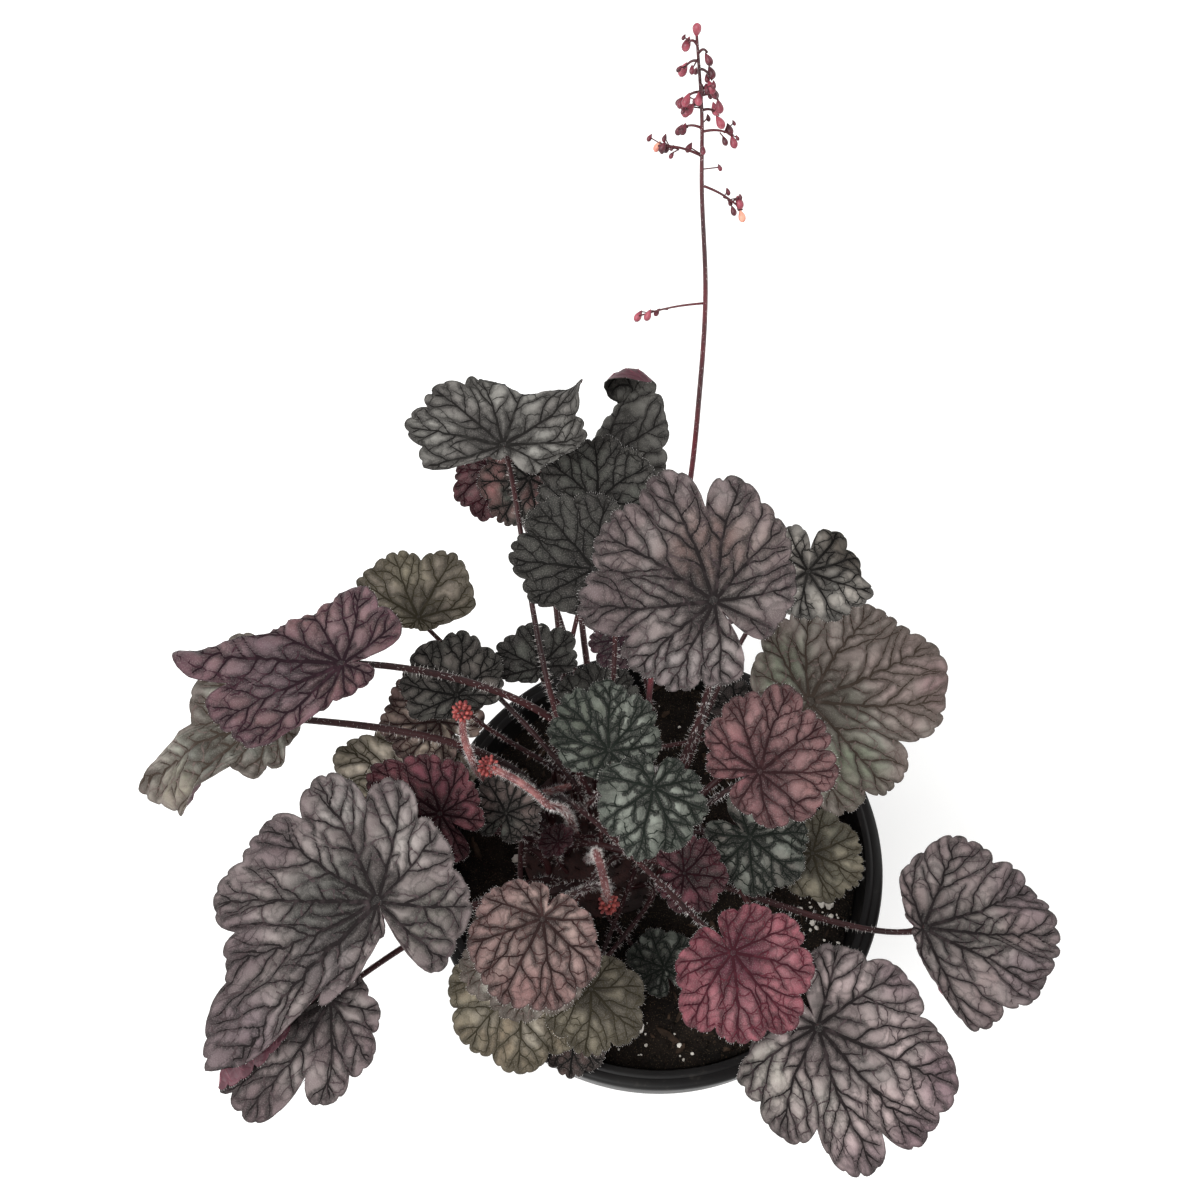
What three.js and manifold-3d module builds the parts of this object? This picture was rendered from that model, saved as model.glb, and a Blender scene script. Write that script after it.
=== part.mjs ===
// A heuchera (coral bells) growing in a round nursery pot, with its flower stem up.
// Millimetres, +Z up. The origin is the centre of the pot's flat base.
import * as THREE from 'three';
import { mergeVertices } from 'three/addons/utils/BufferGeometryUtils.js';
import Module from 'manifold-3d';

const wasm = await Module();
wasm.setup();

// ---- driving dimensions ----
const POT_HEIGHT = 125;
const RIM_RADIUS = 84;
const RIM_LIP = 5; // width of the flat top of the rim
const RIM_DEPTH = 20; // how far the rim's skirt hangs down
const BASE_RADIUS = 60;
const WALL = 1.6;
const FLOOR = 2.5;
const DRAIN_COUNT = 6;
const DRAIN_RADIUS = 5;
const DRAIN_RING = 46;
const POT_SIDES = 36;
const BASE_CHAMFER = 1.5;
const RIM_TOP = 3; // thickness of the rim's flat top
const RIM_FLARE = 2; // how far the skirt leans out from its lower edge to its upper edge
const RIM_ROUND = 1.6;

const SOIL_TOP = 113;
const SOIL_GAP = 0.3;
const SOIL_BUMP = 0.7;

const CROWN_X = -21; // the plant stands a little off the pot's centre
const CROWN_Y = 10;
const CROWN_RADIUS = 31;
const CROWN_RISE = 6; // height of the woody crown above its own edge
const CROWN_EDGE = 1; // height of that edge above the soil
const CROWN_DEPTH = 9; // how far the crown is sunk into the soil
const CROWN_SIDES = 32;
const FOOT_DEPTH = 7; // how deep each stalk stands in the crown
const FOOT_GAP = 0.35;
const FOOT_SIDES = 5;
const SPIRAL_STEP = 4.25; // spacing of the stalks' spiral on the crown
const GOLDEN_ANGLE = 137.508;

const BLADE_THICKNESS = 0.7;
const SINUS_REACH = 4; // blade left between the stalk and the notch behind it
const SINUS_FADE = 14; // degrees beside that notch over which the teeth and lobes die out
const NOTCH_DEPTH = 0.11; // share of the reach cut away between two lobes
const NOTCH_SHARPNESS = 2.6;
const TOOTH_DEPTH = 0.06;
const CUP = 0.06; // rise of the edge above the hub, as a share of the leaf's size
const WAVE = 0.05;
const WAVES_ROUND = 5;
const STALK_SIDES = 5;
const STALK_STEPS = 6;

const SCAPE_RADIUS = 1.2;
const SCAPE_TIP_RADIUS = 0.4;
const SCAPE_SIDES = 6;
const SCAPE_STEPS = 14;
const BRANCH_RADIUS = 0.5;
const BUD_RADIUS = 1.6;
const BUD_OFFSET = 0.9; // how far a bud's middle stands off its branch
const YOUNG_RADIUS = 1.1;
const YOUNG_STEPS = 9;
const HEAD_RADIUS = 2.6; // the tight head of buds on a young flower stem
const HEAD_BUDS = 6;

const radians = THREE.MathUtils.degToRad;
const point = (x, y, z) => new THREE.Vector3(x, y, z);

// ---- leaves ----
// hub: where the stalk meets the blade. heading: compass direction of the leaf's tip.
// lean: how far the blade's upward normal tips along X and Y. lobes: [angle from the tip, reach,
// depth of the notch that follows]. curls: [direction, distance from the hub, bend radius,
// bend angle, up if positive] and, where the line of the bend is itself a curve, [curvature,
// distance aside where that curve is nearest the hub]. spot: the stalk's place on the crown's
// spiral. bow: how far the stalk's lower half is pushed aside. teeth: how many the edge has.
const evenLobes = (reach) => [
  [-146, reach * 0.74], [-97, reach * 0.86], [-49, reach * 0.95], [0, reach],
  [48, reach * 0.96], [98, reach * 0.85], [147, reach * 0.75],
];

const LEAVES = {
  leaf_centre_broad: {
    hub: [13, 32, 262], heading: 125, lean: [0.05, -0.45], kind: 'mauve', teeth: 18, spot: 21,
    bow: [12, 4, 16],
    lobes: [[-152, 20, 0.03], [-118, 25, 0.08], [-78, 31, 0.05], [-46, 38, 0.27], [-16, 42],
      [20, 40, 0.09], [58, 41, 0.24], [93, 32, 0.04], [116, 30, 0.12], [150, 25]],
  },
  leaf_centre_charcoal: {
    hub: [-23, 65, 224], heading: 170, lean: [-0.15, -0.2], kind: 'charcoal', teeth: 18, spot: 5,
    bow: [-16, 0, 4],
    lobes: [[-140, 18], [-88, 26], [-42, 31], [0, 29], [35, 24], [75, 17], [130, 15]],
  },
  leaf_back_dark: {
    hub: [-22, 98, 215], heading: 90, lean: [0, -0.1], kind: 'charcoal', teeth: 16, spot: 35,
    bow: [-4, 16, -4],
    lobes: evenLobes(25),
  },
  leaf_back_saddle: {
    hub: [-54, 108, 234], heading: 115, lean: [0.05, -0.4], kind: 'silver', teeth: 18, spot: 3,
    bow: [-28, -4, 12],
    lobes: [[-140, 16], [-112, 31], [-82, 34], [-45, 34], [-10, 25], [24, 31, 0.08], [53, 34],
      [82, 28], [104, 6]],
    curls: [[-40, 14.5, 6, -115, 0.009, 3], [-110, 16, 10, 35]],
  },
  leaf_back_upright: {
    hub: [-21, 127, 196], heading: 60, lean: [0.35, -0.25], kind: 'silver', teeth: 18, spot: 24,
    bow: [-12, -12, -8],
    lobes: [[-140, 24], [-98, 25], [-58, 26], [-20, 33], [14, 52], [52, 20], [98, 24], [142, 18]],
    curls: [[15, 35, 3.5, 155], [88, 2, 5, -115]],
  },
  leaf_back_under: {
    hub: [-47, 118, 199], heading: -120, lean: [0.1, -0.45], kind: 'charcoal', teeth: 14, spot: 14,
    bow: [-4, 16, 4],
    lobes: evenLobes(20),
  },
  leaf_back_turned: {
    hub: [-62, 128, 190], heading: -110, lean: [0.1, -0.3], kind: 'wine', teeth: 12, spot: 40,
    bow: [4, 16, 4],
    lobes: [[-150, 6], [-110, 9], [-65, 13], [-25, 18], [15, 21], [58, 15], [105, 9], [150, 6]],
  },
  leaf_right_folded: {
    hub: [51, 74, 207], heading: -10, lean: [0.1, -0.35], kind: 'silver', teeth: 16, spot: 42,
    bow: [4, 4, 4],
    lobes: [[-140, 20], [-95, 17], [-50, 20], [-10, 24], [26, 21], [60, 22, 0.6], [125, 17],
      [158, 14]],
    curls: [[55, 10, 4, 80]],
  },
  leaf_right_broad: {
    hub: [53, 39, 176], heading: 20, lean: [0.3, -0.1], kind: 'green', teeth: 18, spot: 13,
    bow: [12, -4, -12],
    lobes: [[-140, 24], [-100, 42], [-66, 42, 0.24], [-18, 52, 0], [6, 57, 0.04], [36, 47, 0.08],
      [68, 38], [100, 30], [134, 24]],
  },
  leaf_centre_salmon: {
    hub: [28, -7, 224], heading: 20, lean: [0.2, -0.1], kind: 'salmon', teeth: 18, spot: 39,
    bow: [8, 8, 0],
    lobes: [[-145, 14], [-102, 18], [-58, 21], [-18, 25], [18, 28], [50, 30], [86, 25], [125, 21],
      [158, 17]],
  },
  leaf_centre_green: {
    hub: [-18, 15, 188], heading: 95, lean: [0, -0.1], kind: 'veined', teeth: 16, spot: 9,
    bow: [8, -4, 0],
    lobes: [[-142, 13], [-88, 18], [-45, 22], [-5, 25], [34, 25], [68, 22], [104, 16], [146, 11]],
  },
  leaf_centre_silver: {
    hub: [-4, -6, 208], heading: -100, lean: [-0.1, -0.2], kind: 'veined', teeth: 16, spot: 8,
    bow: [8, 12, 8],
    lobes: [[-142, 12], [-96, 18], [-48, 20], [-4, 24], [34, 21], [74, 19], [110, 15], [146, 12]],
  },
  leaf_low_wine: {
    hub: [8, -18, 158], heading: -5, lean: [0.3, -0.2], kind: 'wine', teeth: 12, spot: 29,
    bow: [-8, -12, 12],
    lobes: evenLobes(16),
  },
  leaf_low_veined: {
    hub: [32, -3, 152], heading: -40, lean: [0.1, -0.2], kind: 'veined', teeth: 14, spot: 2,
    bow: [4, 0, 0],
    lobes: evenLobes(22),
  },
  leaf_low_green: {
    hub: [56, -4, 138], heading: -25, lean: [0.2, -0.1], kind: 'olive', teeth: 14, spot: 26,
    bow: [4, 4, 0],
    lobes: evenLobes(20),
  },
  leaf_far_right: {
    hub: [91, -34, 148], heading: -5, lean: [0.3, 0.15], kind: 'mauve', teeth: 18, spot: 12,
    bow: [4, 0, 0],
    lobes: [[-132, 6], [-98, 12], [-66, 38], [-17, 45, 0.02], [8, 53, 0.03], [28, 52, 0.17],
      [67, 42, 0.08], [108, 22], [148, 8]],
  },
  leaf_front_right: {
    hub: [50, -70, 160], heading: -60, lean: [0.25, -0.35], kind: 'mauve', teeth: 18, spot: 34,
    bow: [12, 20, 0],
    lobes: [[-148, 15], [-112, 22, 0.05], [-88, 32, 0.07], [-54, 36, 0.26], [-8, 50, 0.2],
      [15, 50, 0.03], [40, 51, 0.14], [93, 34], [133, 27]],
  },
  leaf_front_pink: {
    hub: [21, -52, 184], heading: -55, lean: [0.1, -0.25], kind: 'pink', teeth: 18, spot: 22,
    bow: [-4, 0, 4],
    lobes: [[-152, 13], [-112, 19], [-70, 27], [-30, 28], [5, 30], [42, 27], [78, 23], [118, 17],
      [155, 13]],
  },
  leaf_front_brown: {
    hub: [-39, -44, 194], heading: -115, lean: [-0.1, -0.35], kind: 'brown', teeth: 18, spot: 23,
    bow: [0, -8, -4],
    lobes: [[-150, 11], [-118, 15, 0.04], [-85, 20, 0.06], [-45, 25, 0.05], [-2, 29, 0.05],
      [34, 28, 0.05], [72, 24, 0.05], [112, 16], [152, 11]],
  },
  leaf_front_silver: {
    hub: [-41, -47, 168], heading: -110, lean: [-0.15, -0.3], kind: 'green', teeth: 16, spot: 10,
    bow: [4, 4, 0],
    lobes: [[-146, 18], [-97, 24], [-52, 28], [0, 24], [48, 21], [98, 20], [147, 15]],
  },
  leaf_front_olive: {
    hub: [-49, -52, 140], heading: -90, lean: [-0.2, -0.3], kind: 'olive', teeth: 16, spot: 30,
    bow: [-12, -4, 8],
    lobes: evenLobes(29),
  },
  leaf_front_grey: {
    hub: [-24, -55, 148], heading: -45, lean: [0.05, -0.2], kind: 'olive', teeth: 14, spot: 31,
    bow: [24, 4, -12],
    lobes: [[-146, 15], [-97, 19], [-49, 22], [0, 22], [48, 18], [98, 13], [147, 10]],
  },
  leaf_front_purple: {
    hub: [-30, -67, 130], heading: -95, lean: [0, -0.3], kind: 'charcoal', teeth: 12, spot: 18,
    bow: [4, 0, -8],
    lobes: evenLobes(14),
  },
  leaf_soil_young: {
    hub: [2, -42, 124], heading: 110, lean: [0, 0.1], kind: 'veined', teeth: 12, spot: 36,
    bow: [-4, 0, -12],
    lobes: evenLobes(15),
  },
  leaf_left_broad: {
    hub: [-94, -34, 178], heading: 120, lean: [-0.35, -0.25], kind: 'mauve', teeth: 18, spot: 28,
    bow: [12, -4, 0],
    lobes: [[-162, 33, 0.04], [-128, 35, 0.09], [-78, 31, 0.13], [-46, 40, 0.22], [-3, 48, 0.18],
      [27, 50, 0.08], [56, 62, 0.13], [80, 57, 0], [101, 77, 0.35], [128, 28, 0.05], [156, 12]],
  },
  leaf_left_lobed: {
    hub: [-111, -60, 153], heading: -115, lean: [-0.15, -0.3], kind: 'mauve', teeth: 18, spot: 41,
    bow: [4, 8, 8],
    lobes: [[-142, 14], [-104, 24, 0.05], [-64, 38, 0.02], [-36, 48, 0.05], [-10, 46, 0.34],
      [26, 33], [60, 25], [100, 18], [142, 13]],
    curls: [[-98, 15, 2.2, 165]],
  },
  leaf_far_left: {
    hub: [-134, 29, 186], heading: -158, lean: [-0.35, -0.05], kind: 'green', teeth: 18, spot: 17,
    bow: [0, 16, 16],
    lobes: [[-162, 20], [-120, 27], [-84, 37, 0.03], [-58, 37, 0.02], [-24, 31, 0.02],
      [-12, 74, 0.02], [8, 56, 0.1], [27, 22, 0.02], [56, 23], [84, 20], [112, 14], [158, 18]],
    curls: [[0, 28, 8, -40]],
  },
  leaf_left_curled: {
    hub: [-104, 31, 222], heading: -170, lean: [-0.25, -0.4], kind: 'purple', teeth: 18, spot: 19,
    bow: [0, 8, 12],
    lobes: [[-155, 24], [-115, 26], [-66, 31], [-34, 38, 0.02], [-14, 61, 0.28], [12, 48, 0.03],
      [30, 42, 0.03], [54, 17], [84, 11], [150, 12]],
    curls: [[-78, 16, 5, -120]],
  },
  leaf_left_upright: {
    hub: [-87, 71, 178], heading: 80, lean: [0, -0.9], kind: 'olive', teeth: 16, spot: 1,
    bow: [0, 8, 0],
    lobes: [[-150, 5], [-96, 8], [-62, 22, 0.03], [-17, 28, 0.17], [34, 26, 0.04], [70, 26],
      [100, 12], [150, 5]],
  },
  leaf_left_dark: {
    hub: [-72, 42, 174], heading: 105, lean: [-0.05, -0.1], kind: 'charcoal', teeth: 16, spot: 6,
    bow: [-4, 8, -8],
    lobes: [[-150, 8], [-105, 17], [-62, 21], [-20, 24], [22, 24], [62, 21], [100, 18], [145, 9]],
  },
  leaf_left_brown: {
    hub: [-80, 40, 156], heading: 135, lean: [-0.1, 0], kind: 'brown', teeth: 14, spot: 0,
    bow: [-20, -20, -4],
    lobes: evenLobes(23),
  },
  leaf_left_olive: {
    hub: [-84, 19, 140], heading: 125, lean: [-0.15, 0], kind: 'olive', teeth: 16, spot: 33,
    bow: [4, 8, -8],
    lobes: [[-144, 16], [-96, 20], [-50, 25], [-8, 31], [28, 41], [62, 36], [102, 26], [147, 18]],
  },
  leaf_left_wine: {
    hub: [-76, 0, 168], heading: 140, lean: [-0.1, -0.2], kind: 'wine', teeth: 16, spot: 25,
    bow: [4, -4, 8],
    lobes: [[-152, 16], [-112, 15], [-72, 19], [-32, 22], [5, 30], [42, 28], [84, 24], [126, 20],
      [160, 18]],
  },
  leaf_left_charcoal: {
    hub: [-54, 3, 160], heading: 70, lean: [-0.1, -0.1], kind: 'charcoal', teeth: 12, spot: 38,
    bow: [8, 0, 8],
    lobes: evenLobes(15),
  },
  leaf_back_small: {
    hub: [-43, 54, 172], heading: 100, lean: [0, 0], kind: 'charcoal', teeth: 12, spot: 11,
    bow: [0, 12, 12],
    lobes: [[-140, 7], [-95, 14], [-50, 18], [0, 18], [50, 18], [95, 15], [140, 7]],
  },
  leaf_back_low: {
    hub: [-21, 44, 162], heading: 105, lean: [0, 0.1], kind: 'charcoal', teeth: 12, spot: 15,
    bow: [4, 4, -8],
    lobes: evenLobes(18),
  },
  leaf_inner_purple: {
    hub: [-14, 58, 187], heading: -120, lean: [0, -0.2], kind: 'purple', teeth: 12, spot: 37,
    bow: [8, 12, 16],
    lobes: evenLobes(12),
  },
  leaf_back_right: {
    hub: [30, 44, 152], heading: 95, lean: [0.1, 0.1], kind: 'charcoal', teeth: 12, spot: 32,
    bow: [4, 8, 0],
    lobes: evenLobes(16),
  },
  leaf_new_red: {
    hub: [-36, -3, 147], heading: 135, lean: [-0.3, 0.2], kind: 'wine', teeth: 12, spot: 20,
    bow: [-8, 8, -8],
    lobes: evenLobes(8),
  },
};

const KIND_COLOUR = {
  mauve: 0x8d7f83, silver: 0x6f7570, green: 0x858a80, charcoal: 0x3e4541, veined: 0x65726b,
  salmon: 0x9c6465, pink: 0x96505c, brown: 0x8f6f6a, olive: 0x6d6f58, wine: 0x5e2a37,
  purple: 0x64485a,
};

// ---- solids from lists of points and triangles ----
function solid(points, triangles) {
  const mesh = new wasm.Mesh({
    numProp: 3,
    vertProperties: new Float32Array(points.flatMap((p) => p.toArray())),
    triVerts: new Uint32Array(triangles.flat()),
  });
  return new wasm.Manifold(mesh);
}

function solidOf(geometry) {
  geometry.deleteAttribute('normal');
  geometry.deleteAttribute('uv');
  const merged = mergeVertices(geometry, 1e-4);
  const mesh = new wasm.Mesh({
    numProp: 3,
    vertProperties: new Float32Array(merged.attributes.position.array),
    triVerts: new Uint32Array(merged.index.array),
  });
  return new wasm.Manifold(mesh);
}

function geometryOf(body) {
  const mesh = body.getMesh();
  const geometry = new THREE.BufferGeometry();
  geometry.setAttribute('position', new THREE.BufferAttribute(mesh.vertProperties, 3));
  geometry.setIndex(new THREE.BufferAttribute(mesh.triVerts, 1));
  return geometry;
}

function joined(bodies) {
  return bodies.reduce((sum, body) => sum.add(body));
}

// A round stem along a list of points, closed at both ends, with its own radius at each point.
function stem(path, radii, sides) {
  const points = [];
  const triangles = [];
  let across = null;
  path.forEach((centre, i) => {
    const ahead = path[Math.min(i + 1, path.length - 1)];
    const behind = path[Math.max(i - 1, 0)];
    const along = ahead.clone().sub(behind).normalize();
    across = across ?? point(1, 0.3, 0.2);
    across.addScaledVector(along, -across.dot(along)).normalize();
    const up = along.clone().cross(across);
    for (let k = 0; k < sides; k += 1) {
      const turn = (2 * Math.PI * k) / sides;
      points.push(centre.clone()
        .addScaledVector(across, radii[i] * Math.cos(turn))
        .addScaledVector(up, radii[i] * Math.sin(turn)));
    }
  });
  for (let i = 0; i + 1 < path.length; i += 1) {
    for (let k = 0; k < sides; k += 1) {
      const next = (k + 1) % sides;
      const a = i * sides + k;
      const b = i * sides + next;
      triangles.push([a, b, b + sides], [a, b + sides, a + sides]);
    }
  }
  const top = (path.length - 1) * sides;
  for (let k = 1; k + 1 < sides; k += 1) {
    triangles.push([0, k + 1, k], [top, top + k, top + k + 1]);
  }
  return solid(points, triangles);
}

// ---- the shape of a leaf ----
// Distance from the hub to the edge, without the teeth.
function lobeReach(lobes, angle) {
  const [first] = lobes;
  const last = lobes[lobes.length - 1];
  if (angle <= first[0] || angle >= last[0]) {
    const basal = angle <= first[0] ? first : last;
    const t = (Math.abs(angle) - Math.abs(basal[0])) / (180 - Math.abs(basal[0]));
    return Math.max(SINUS_REACH, basal[1] * (1 - t ** 3) ** 0.7);
  }
  const i = lobes.findIndex((lobe) => lobe[0] > angle) - 1;
  const [from, reach, notch = NOTCH_DEPTH] = lobes[i];
  const [to, nextReach] = lobes[i + 1];
  const t = (angle - from) / (to - from);
  const eased = 0.5 * (t + THREE.MathUtils.smoothstep(t, 0, 1));
  const between = 1 - Math.abs(2 * t - 1);
  return (reach + (nextReach - reach) * eased) * (1 - notch * between ** NOTCH_SHARPNESS);
}

// Round teeth: full reach at each tooth's middle, a small notch between neighbours.
function toothed(reach, angle, teeth) {
  const place = (angle * teeth) / 360;
  const between = 2 * Math.abs(place - Math.round(place));
  const fade = Math.min(1, (180 - Math.abs(angle)) / SINUS_FADE);
  return reach * (1 - TOOTH_DEPTH * fade * between ** 2);
}

// Bends the blade about a line across it.
function curled(p, [toward, start, radius, bend, curvature = 0, middle = 0]) {
  const dx = Math.cos(radians(toward));
  const dy = Math.sin(radians(toward));
  const aside = p.y * dx - p.x * dy - middle;
  const over = p.x * dx + p.y * dy - start - curvature * aside ** 2;
  if (over <= 0) return p;
  const side = Math.sign(bend);
  const full = radians(Math.abs(bend));
  const angle = Math.min(over / radius, full);
  const rest = Math.max(over - radius * full, 0);
  const along = radius * Math.sin(angle) + rest * Math.cos(angle) - side * p.z * Math.sin(angle);
  const rise = side * (radius * (1 - Math.cos(angle)) + rest * Math.sin(angle));
  const shift = along - over;
  return point(p.x + shift * dx, p.y + shift * dy, rise + p.z * Math.cos(angle));
}

function leafAxes(leaf) {
  const normal = point(leaf.lean[0], leaf.lean[1], 1).normalize();
  const ahead = point(Math.cos(radians(leaf.heading)), Math.sin(radians(leaf.heading)), 0);
  ahead.addScaledVector(normal, -ahead.dot(normal)).normalize();
  return { ahead, left: normal.clone().cross(ahead), normal };
}

function leafSize(leaf) {
  return Math.max(...leaf.lobes.map((lobe) => lobe[1]));
}

// A point of the blade's middle surface, waved and curled, in the plant's frame.
function bladePoint(leaf, angle, reach) {
  const size = leafSize(leaf);
  const turn = radians(angle);
  const out = reach / size;
  const ripple = Math.sin(WAVES_ROUND * turn + leaf.hub[0]);
  const height = size * (CUP * out ** 2 + WAVE * out ** 3 * ripple);
  const flat = point(reach * Math.cos(turn), reach * Math.sin(turn), height);
  const bent = (leaf.curls ?? []).reduce(curled, flat);
  const axes = leafAxes(leaf);
  return point(...leaf.hub)
    .addScaledVector(axes.ahead, bent.x)
    .addScaledVector(axes.left, bent.y)
    .addScaledVector(axes.normal, bent.z);
}

// Rings of points round the hub: share of the reach, and one point in how many edge points.
const PLAIN_RINGS = [[0.36, 4], [0.7, 2], [1, 1]];
const CURLED_RINGS = [[0.28, 4], [0.54, 2], [0.78, 2], [1, 1]];
const SMALL_RINGS = [[0.5, 2], [1, 1]];
const SMALL_TEETH = 14;

function ringsOf(leaf) {
  if (leaf.curls) return CURLED_RINGS;
  return leaf.teeth <= SMALL_TEETH ? SMALL_RINGS : PLAIN_RINGS;
}

function bladeGrid(leaf) {
  const count = 2 * leaf.teeth;
  const middle = [bladePoint(leaf, 0, 0)];
  const rings = [];
  for (const [share, skip] of ringsOf(leaf)) {
    const ring = { start: middle.length, size: Math.floor(count / skip) };
    for (let k = 0; k < ring.size; k += 1) {
      const angle = (360 * k) / ring.size - 180;
      const reach = lobeReach(leaf.lobes, angle);
      const edge = share === 1 ? toothed(reach, angle, leaf.teeth) : reach * share;
      middle.push(bladePoint(leaf, angle, edge));
    }
    rings.push(ring);
  }
  return { middle, rings };
}

// Triangles from one point or ring out to the next ring, counter-clockwise seen from above.
function ringTriangles(inner, outer) {
  const triangles = [];
  for (let k = 0; k < outer.size; k += 1) {
    const a = outer.start + k;
    const b = outer.start + ((k + 1) % outer.size);
    const share = inner.size / outer.size;
    const c = inner.start + (Math.floor((k + 0.5) * share + 0.001) % inner.size);
    const d = inner.start + (Math.floor((k + 1.5) * share + 0.001) % inner.size);
    triangles.push([c, a, b]);
    if (d !== c) triangles.push([c, b, d]);
  }
  return triangles;
}

// The rings of a stalk from the hub down to its foot, the first one flat under the blade.
function stalkRings(leaf) {
  const path = stalkPath(leaf).reverse();
  const axes = leafAxes(leaf);
  const footRadius = stalkRadius(leaf);
  const hubRadius = 0.7 * footRadius;
  const across = axes.ahead.clone();
  return path.flatMap((centre, i) => {
    const above = path[Math.max(i - 1, 0)];
    const below = path[Math.min(i + 1, path.length - 1)];
    const along = i === 0 ? axes.normal.clone() : above.clone().sub(below).normalize();
    across.addScaledVector(along, -across.dot(along)).normalize();
    const side = along.clone().cross(across);
    const radius = hubRadius + ((footRadius - hubRadius) * i) / (path.length - 1);
    const sunk = i === 0 ? -BLADE_THICKNESS / 2 : 0;
    return Array.from({ length: STALK_SIDES }, (_, k) => {
      const turn = radians((360 * k) / STALK_SIDES - 180);
      return centre.clone()
        .addScaledVector(along, sunk)
        .addScaledVector(across, radius * Math.cos(turn))
        .addScaledVector(side, radius * Math.sin(turn));
    });
  });
}

// The blade is a thin closed sheet whose faces share one triangulation, joined round the edge.
// The stalk grows out of its underside, so blade and stalk are one closed body.
function leafSolid(leaf) {
  const { middle, rings } = bladeGrid(leaf);
  const hub = { start: 0, size: 1 };
  const blade = [hub, ...rings].slice(0, -1).flatMap((ring, i) => ringTriangles(ring, rings[i]));
  const normals = middle.map(() => point(0, 0, 0));
  for (const corners of blade) {
    const [a, b, c] = corners.map((i) => middle[i]);
    const normal = b.clone().sub(a).cross(c.clone().sub(a));
    corners.forEach((i) => normals[i].add(normal));
  }
  const half = BLADE_THICKNESS / 2;
  const top = middle.map((p, i) => p.clone().addScaledVector(normals[i].normalize(), half));
  const under = middle.slice(1).map((p, i) => p.clone().addScaledVector(normals[i + 1], -half));
  const stalk = stalkRings(leaf);
  const below = top.length - 1; // from a point's number in the upper face to its twin below
  const stalkStart = top.length + under.length;
  const collar = { start: stalkStart - below, size: STALK_SIDES };
  const underside = [
    ...ringTriangles(collar, rings[0]),
    ...blade.filter((corners) => !corners.includes(0)),
  ].map(([a, b, c]) => [a + below, c + below, b + below]);
  const faces = [...blade, ...underside];
  const edge = rings[rings.length - 1];
  for (let k = 0; k < edge.size; k += 1) {
    const a = edge.start + k;
    const b = edge.start + ((k + 1) % edge.size);
    faces.push([a, a + below, b + below], [a, b + below, b]);
  }
  const foot = stalkStart + stalk.length - STALK_SIDES;
  for (let start = stalkStart; start < foot; start += STALK_SIDES) {
    for (let k = 0; k < STALK_SIDES; k += 1) {
      const a = start + k;
      const b = start + ((k + 1) % STALK_SIDES);
      faces.push([a, a + STALK_SIDES, b + STALK_SIDES], [a, b + STALK_SIDES, b]);
    }
  }
  for (let k = 1; k + 1 < STALK_SIDES; k += 1) faces.push([foot, foot + k + 1, foot + k]);
  return solid([...top, ...under, ...stalk], faces);
}

// ---- stalks on the crown ----
function footOf(spot) {
  const turn = radians(spot * GOLDEN_ANGLE);
  const out = SPIRAL_STEP * Math.sqrt(spot + 0.3);
  return point(CROWN_X + out * Math.cos(turn), CROWN_Y + out * Math.sin(turn), crownHeight(out));
}

function crownHeight(out) {
  return SOIL_TOP + CROWN_EDGE + CROWN_RISE * (1 - (out / CROWN_RADIUS) ** 2);
}

// A bigger leaf stands on a thicker stalk.
function stalkRadius(leaf) {
  return 0.8 + 0.012 * leafSize(leaf);
}

// The stalk stands upright in its hole, arches over and meets the hub from underneath.
function stalkPath(leaf) {
  const foot = footOf(leaf.spot);
  const hub = point(...leaf.hub);
  const { ahead, normal } = leafAxes(leaf);
  const span = foot.distanceTo(hub);
  const [bowX, bowY, bowZ] = leaf.bow ?? [0, 0, 0];
  const rise = foot.clone().add(point(bowX, bowY, bowZ + 0.4 * span));
  const arrive = hub.clone();
  arrive.addScaledVector(normal, -0.25 * span).addScaledVector(ahead, -0.12 * span);
  const arch = new THREE.CubicBezierCurve3(foot, rise, arrive, hub);
  return [foot.clone().sub(point(0, 0, FOOT_DEPTH)), ...arch.getPoints(STALK_STEPS - 1)];
}

// ---- pot ----
// A profile of [radius, height] pairs turned about the Z axis.
function lathe(profile, sides) {
  const flat = profile.map(([x, y]) => new THREE.Vector2(x, y));
  return new THREE.LatheGeometry(flat, sides).rotateX(Math.PI / 2);
}

function post(radius, height, sides) {
  return new THREE.CylinderGeometry(radius, radius, height, sides).rotateX(Math.PI / 2);
}

// Radius of the pot's tapered wall, on the inside, at a height.
function innerRadius(z) {
  const low = BASE_RADIUS - WALL;
  const high = RIM_RADIUS - RIM_LIP - WALL;
  return low + ((high - low) * z) / POT_HEIGHT;
}

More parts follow.
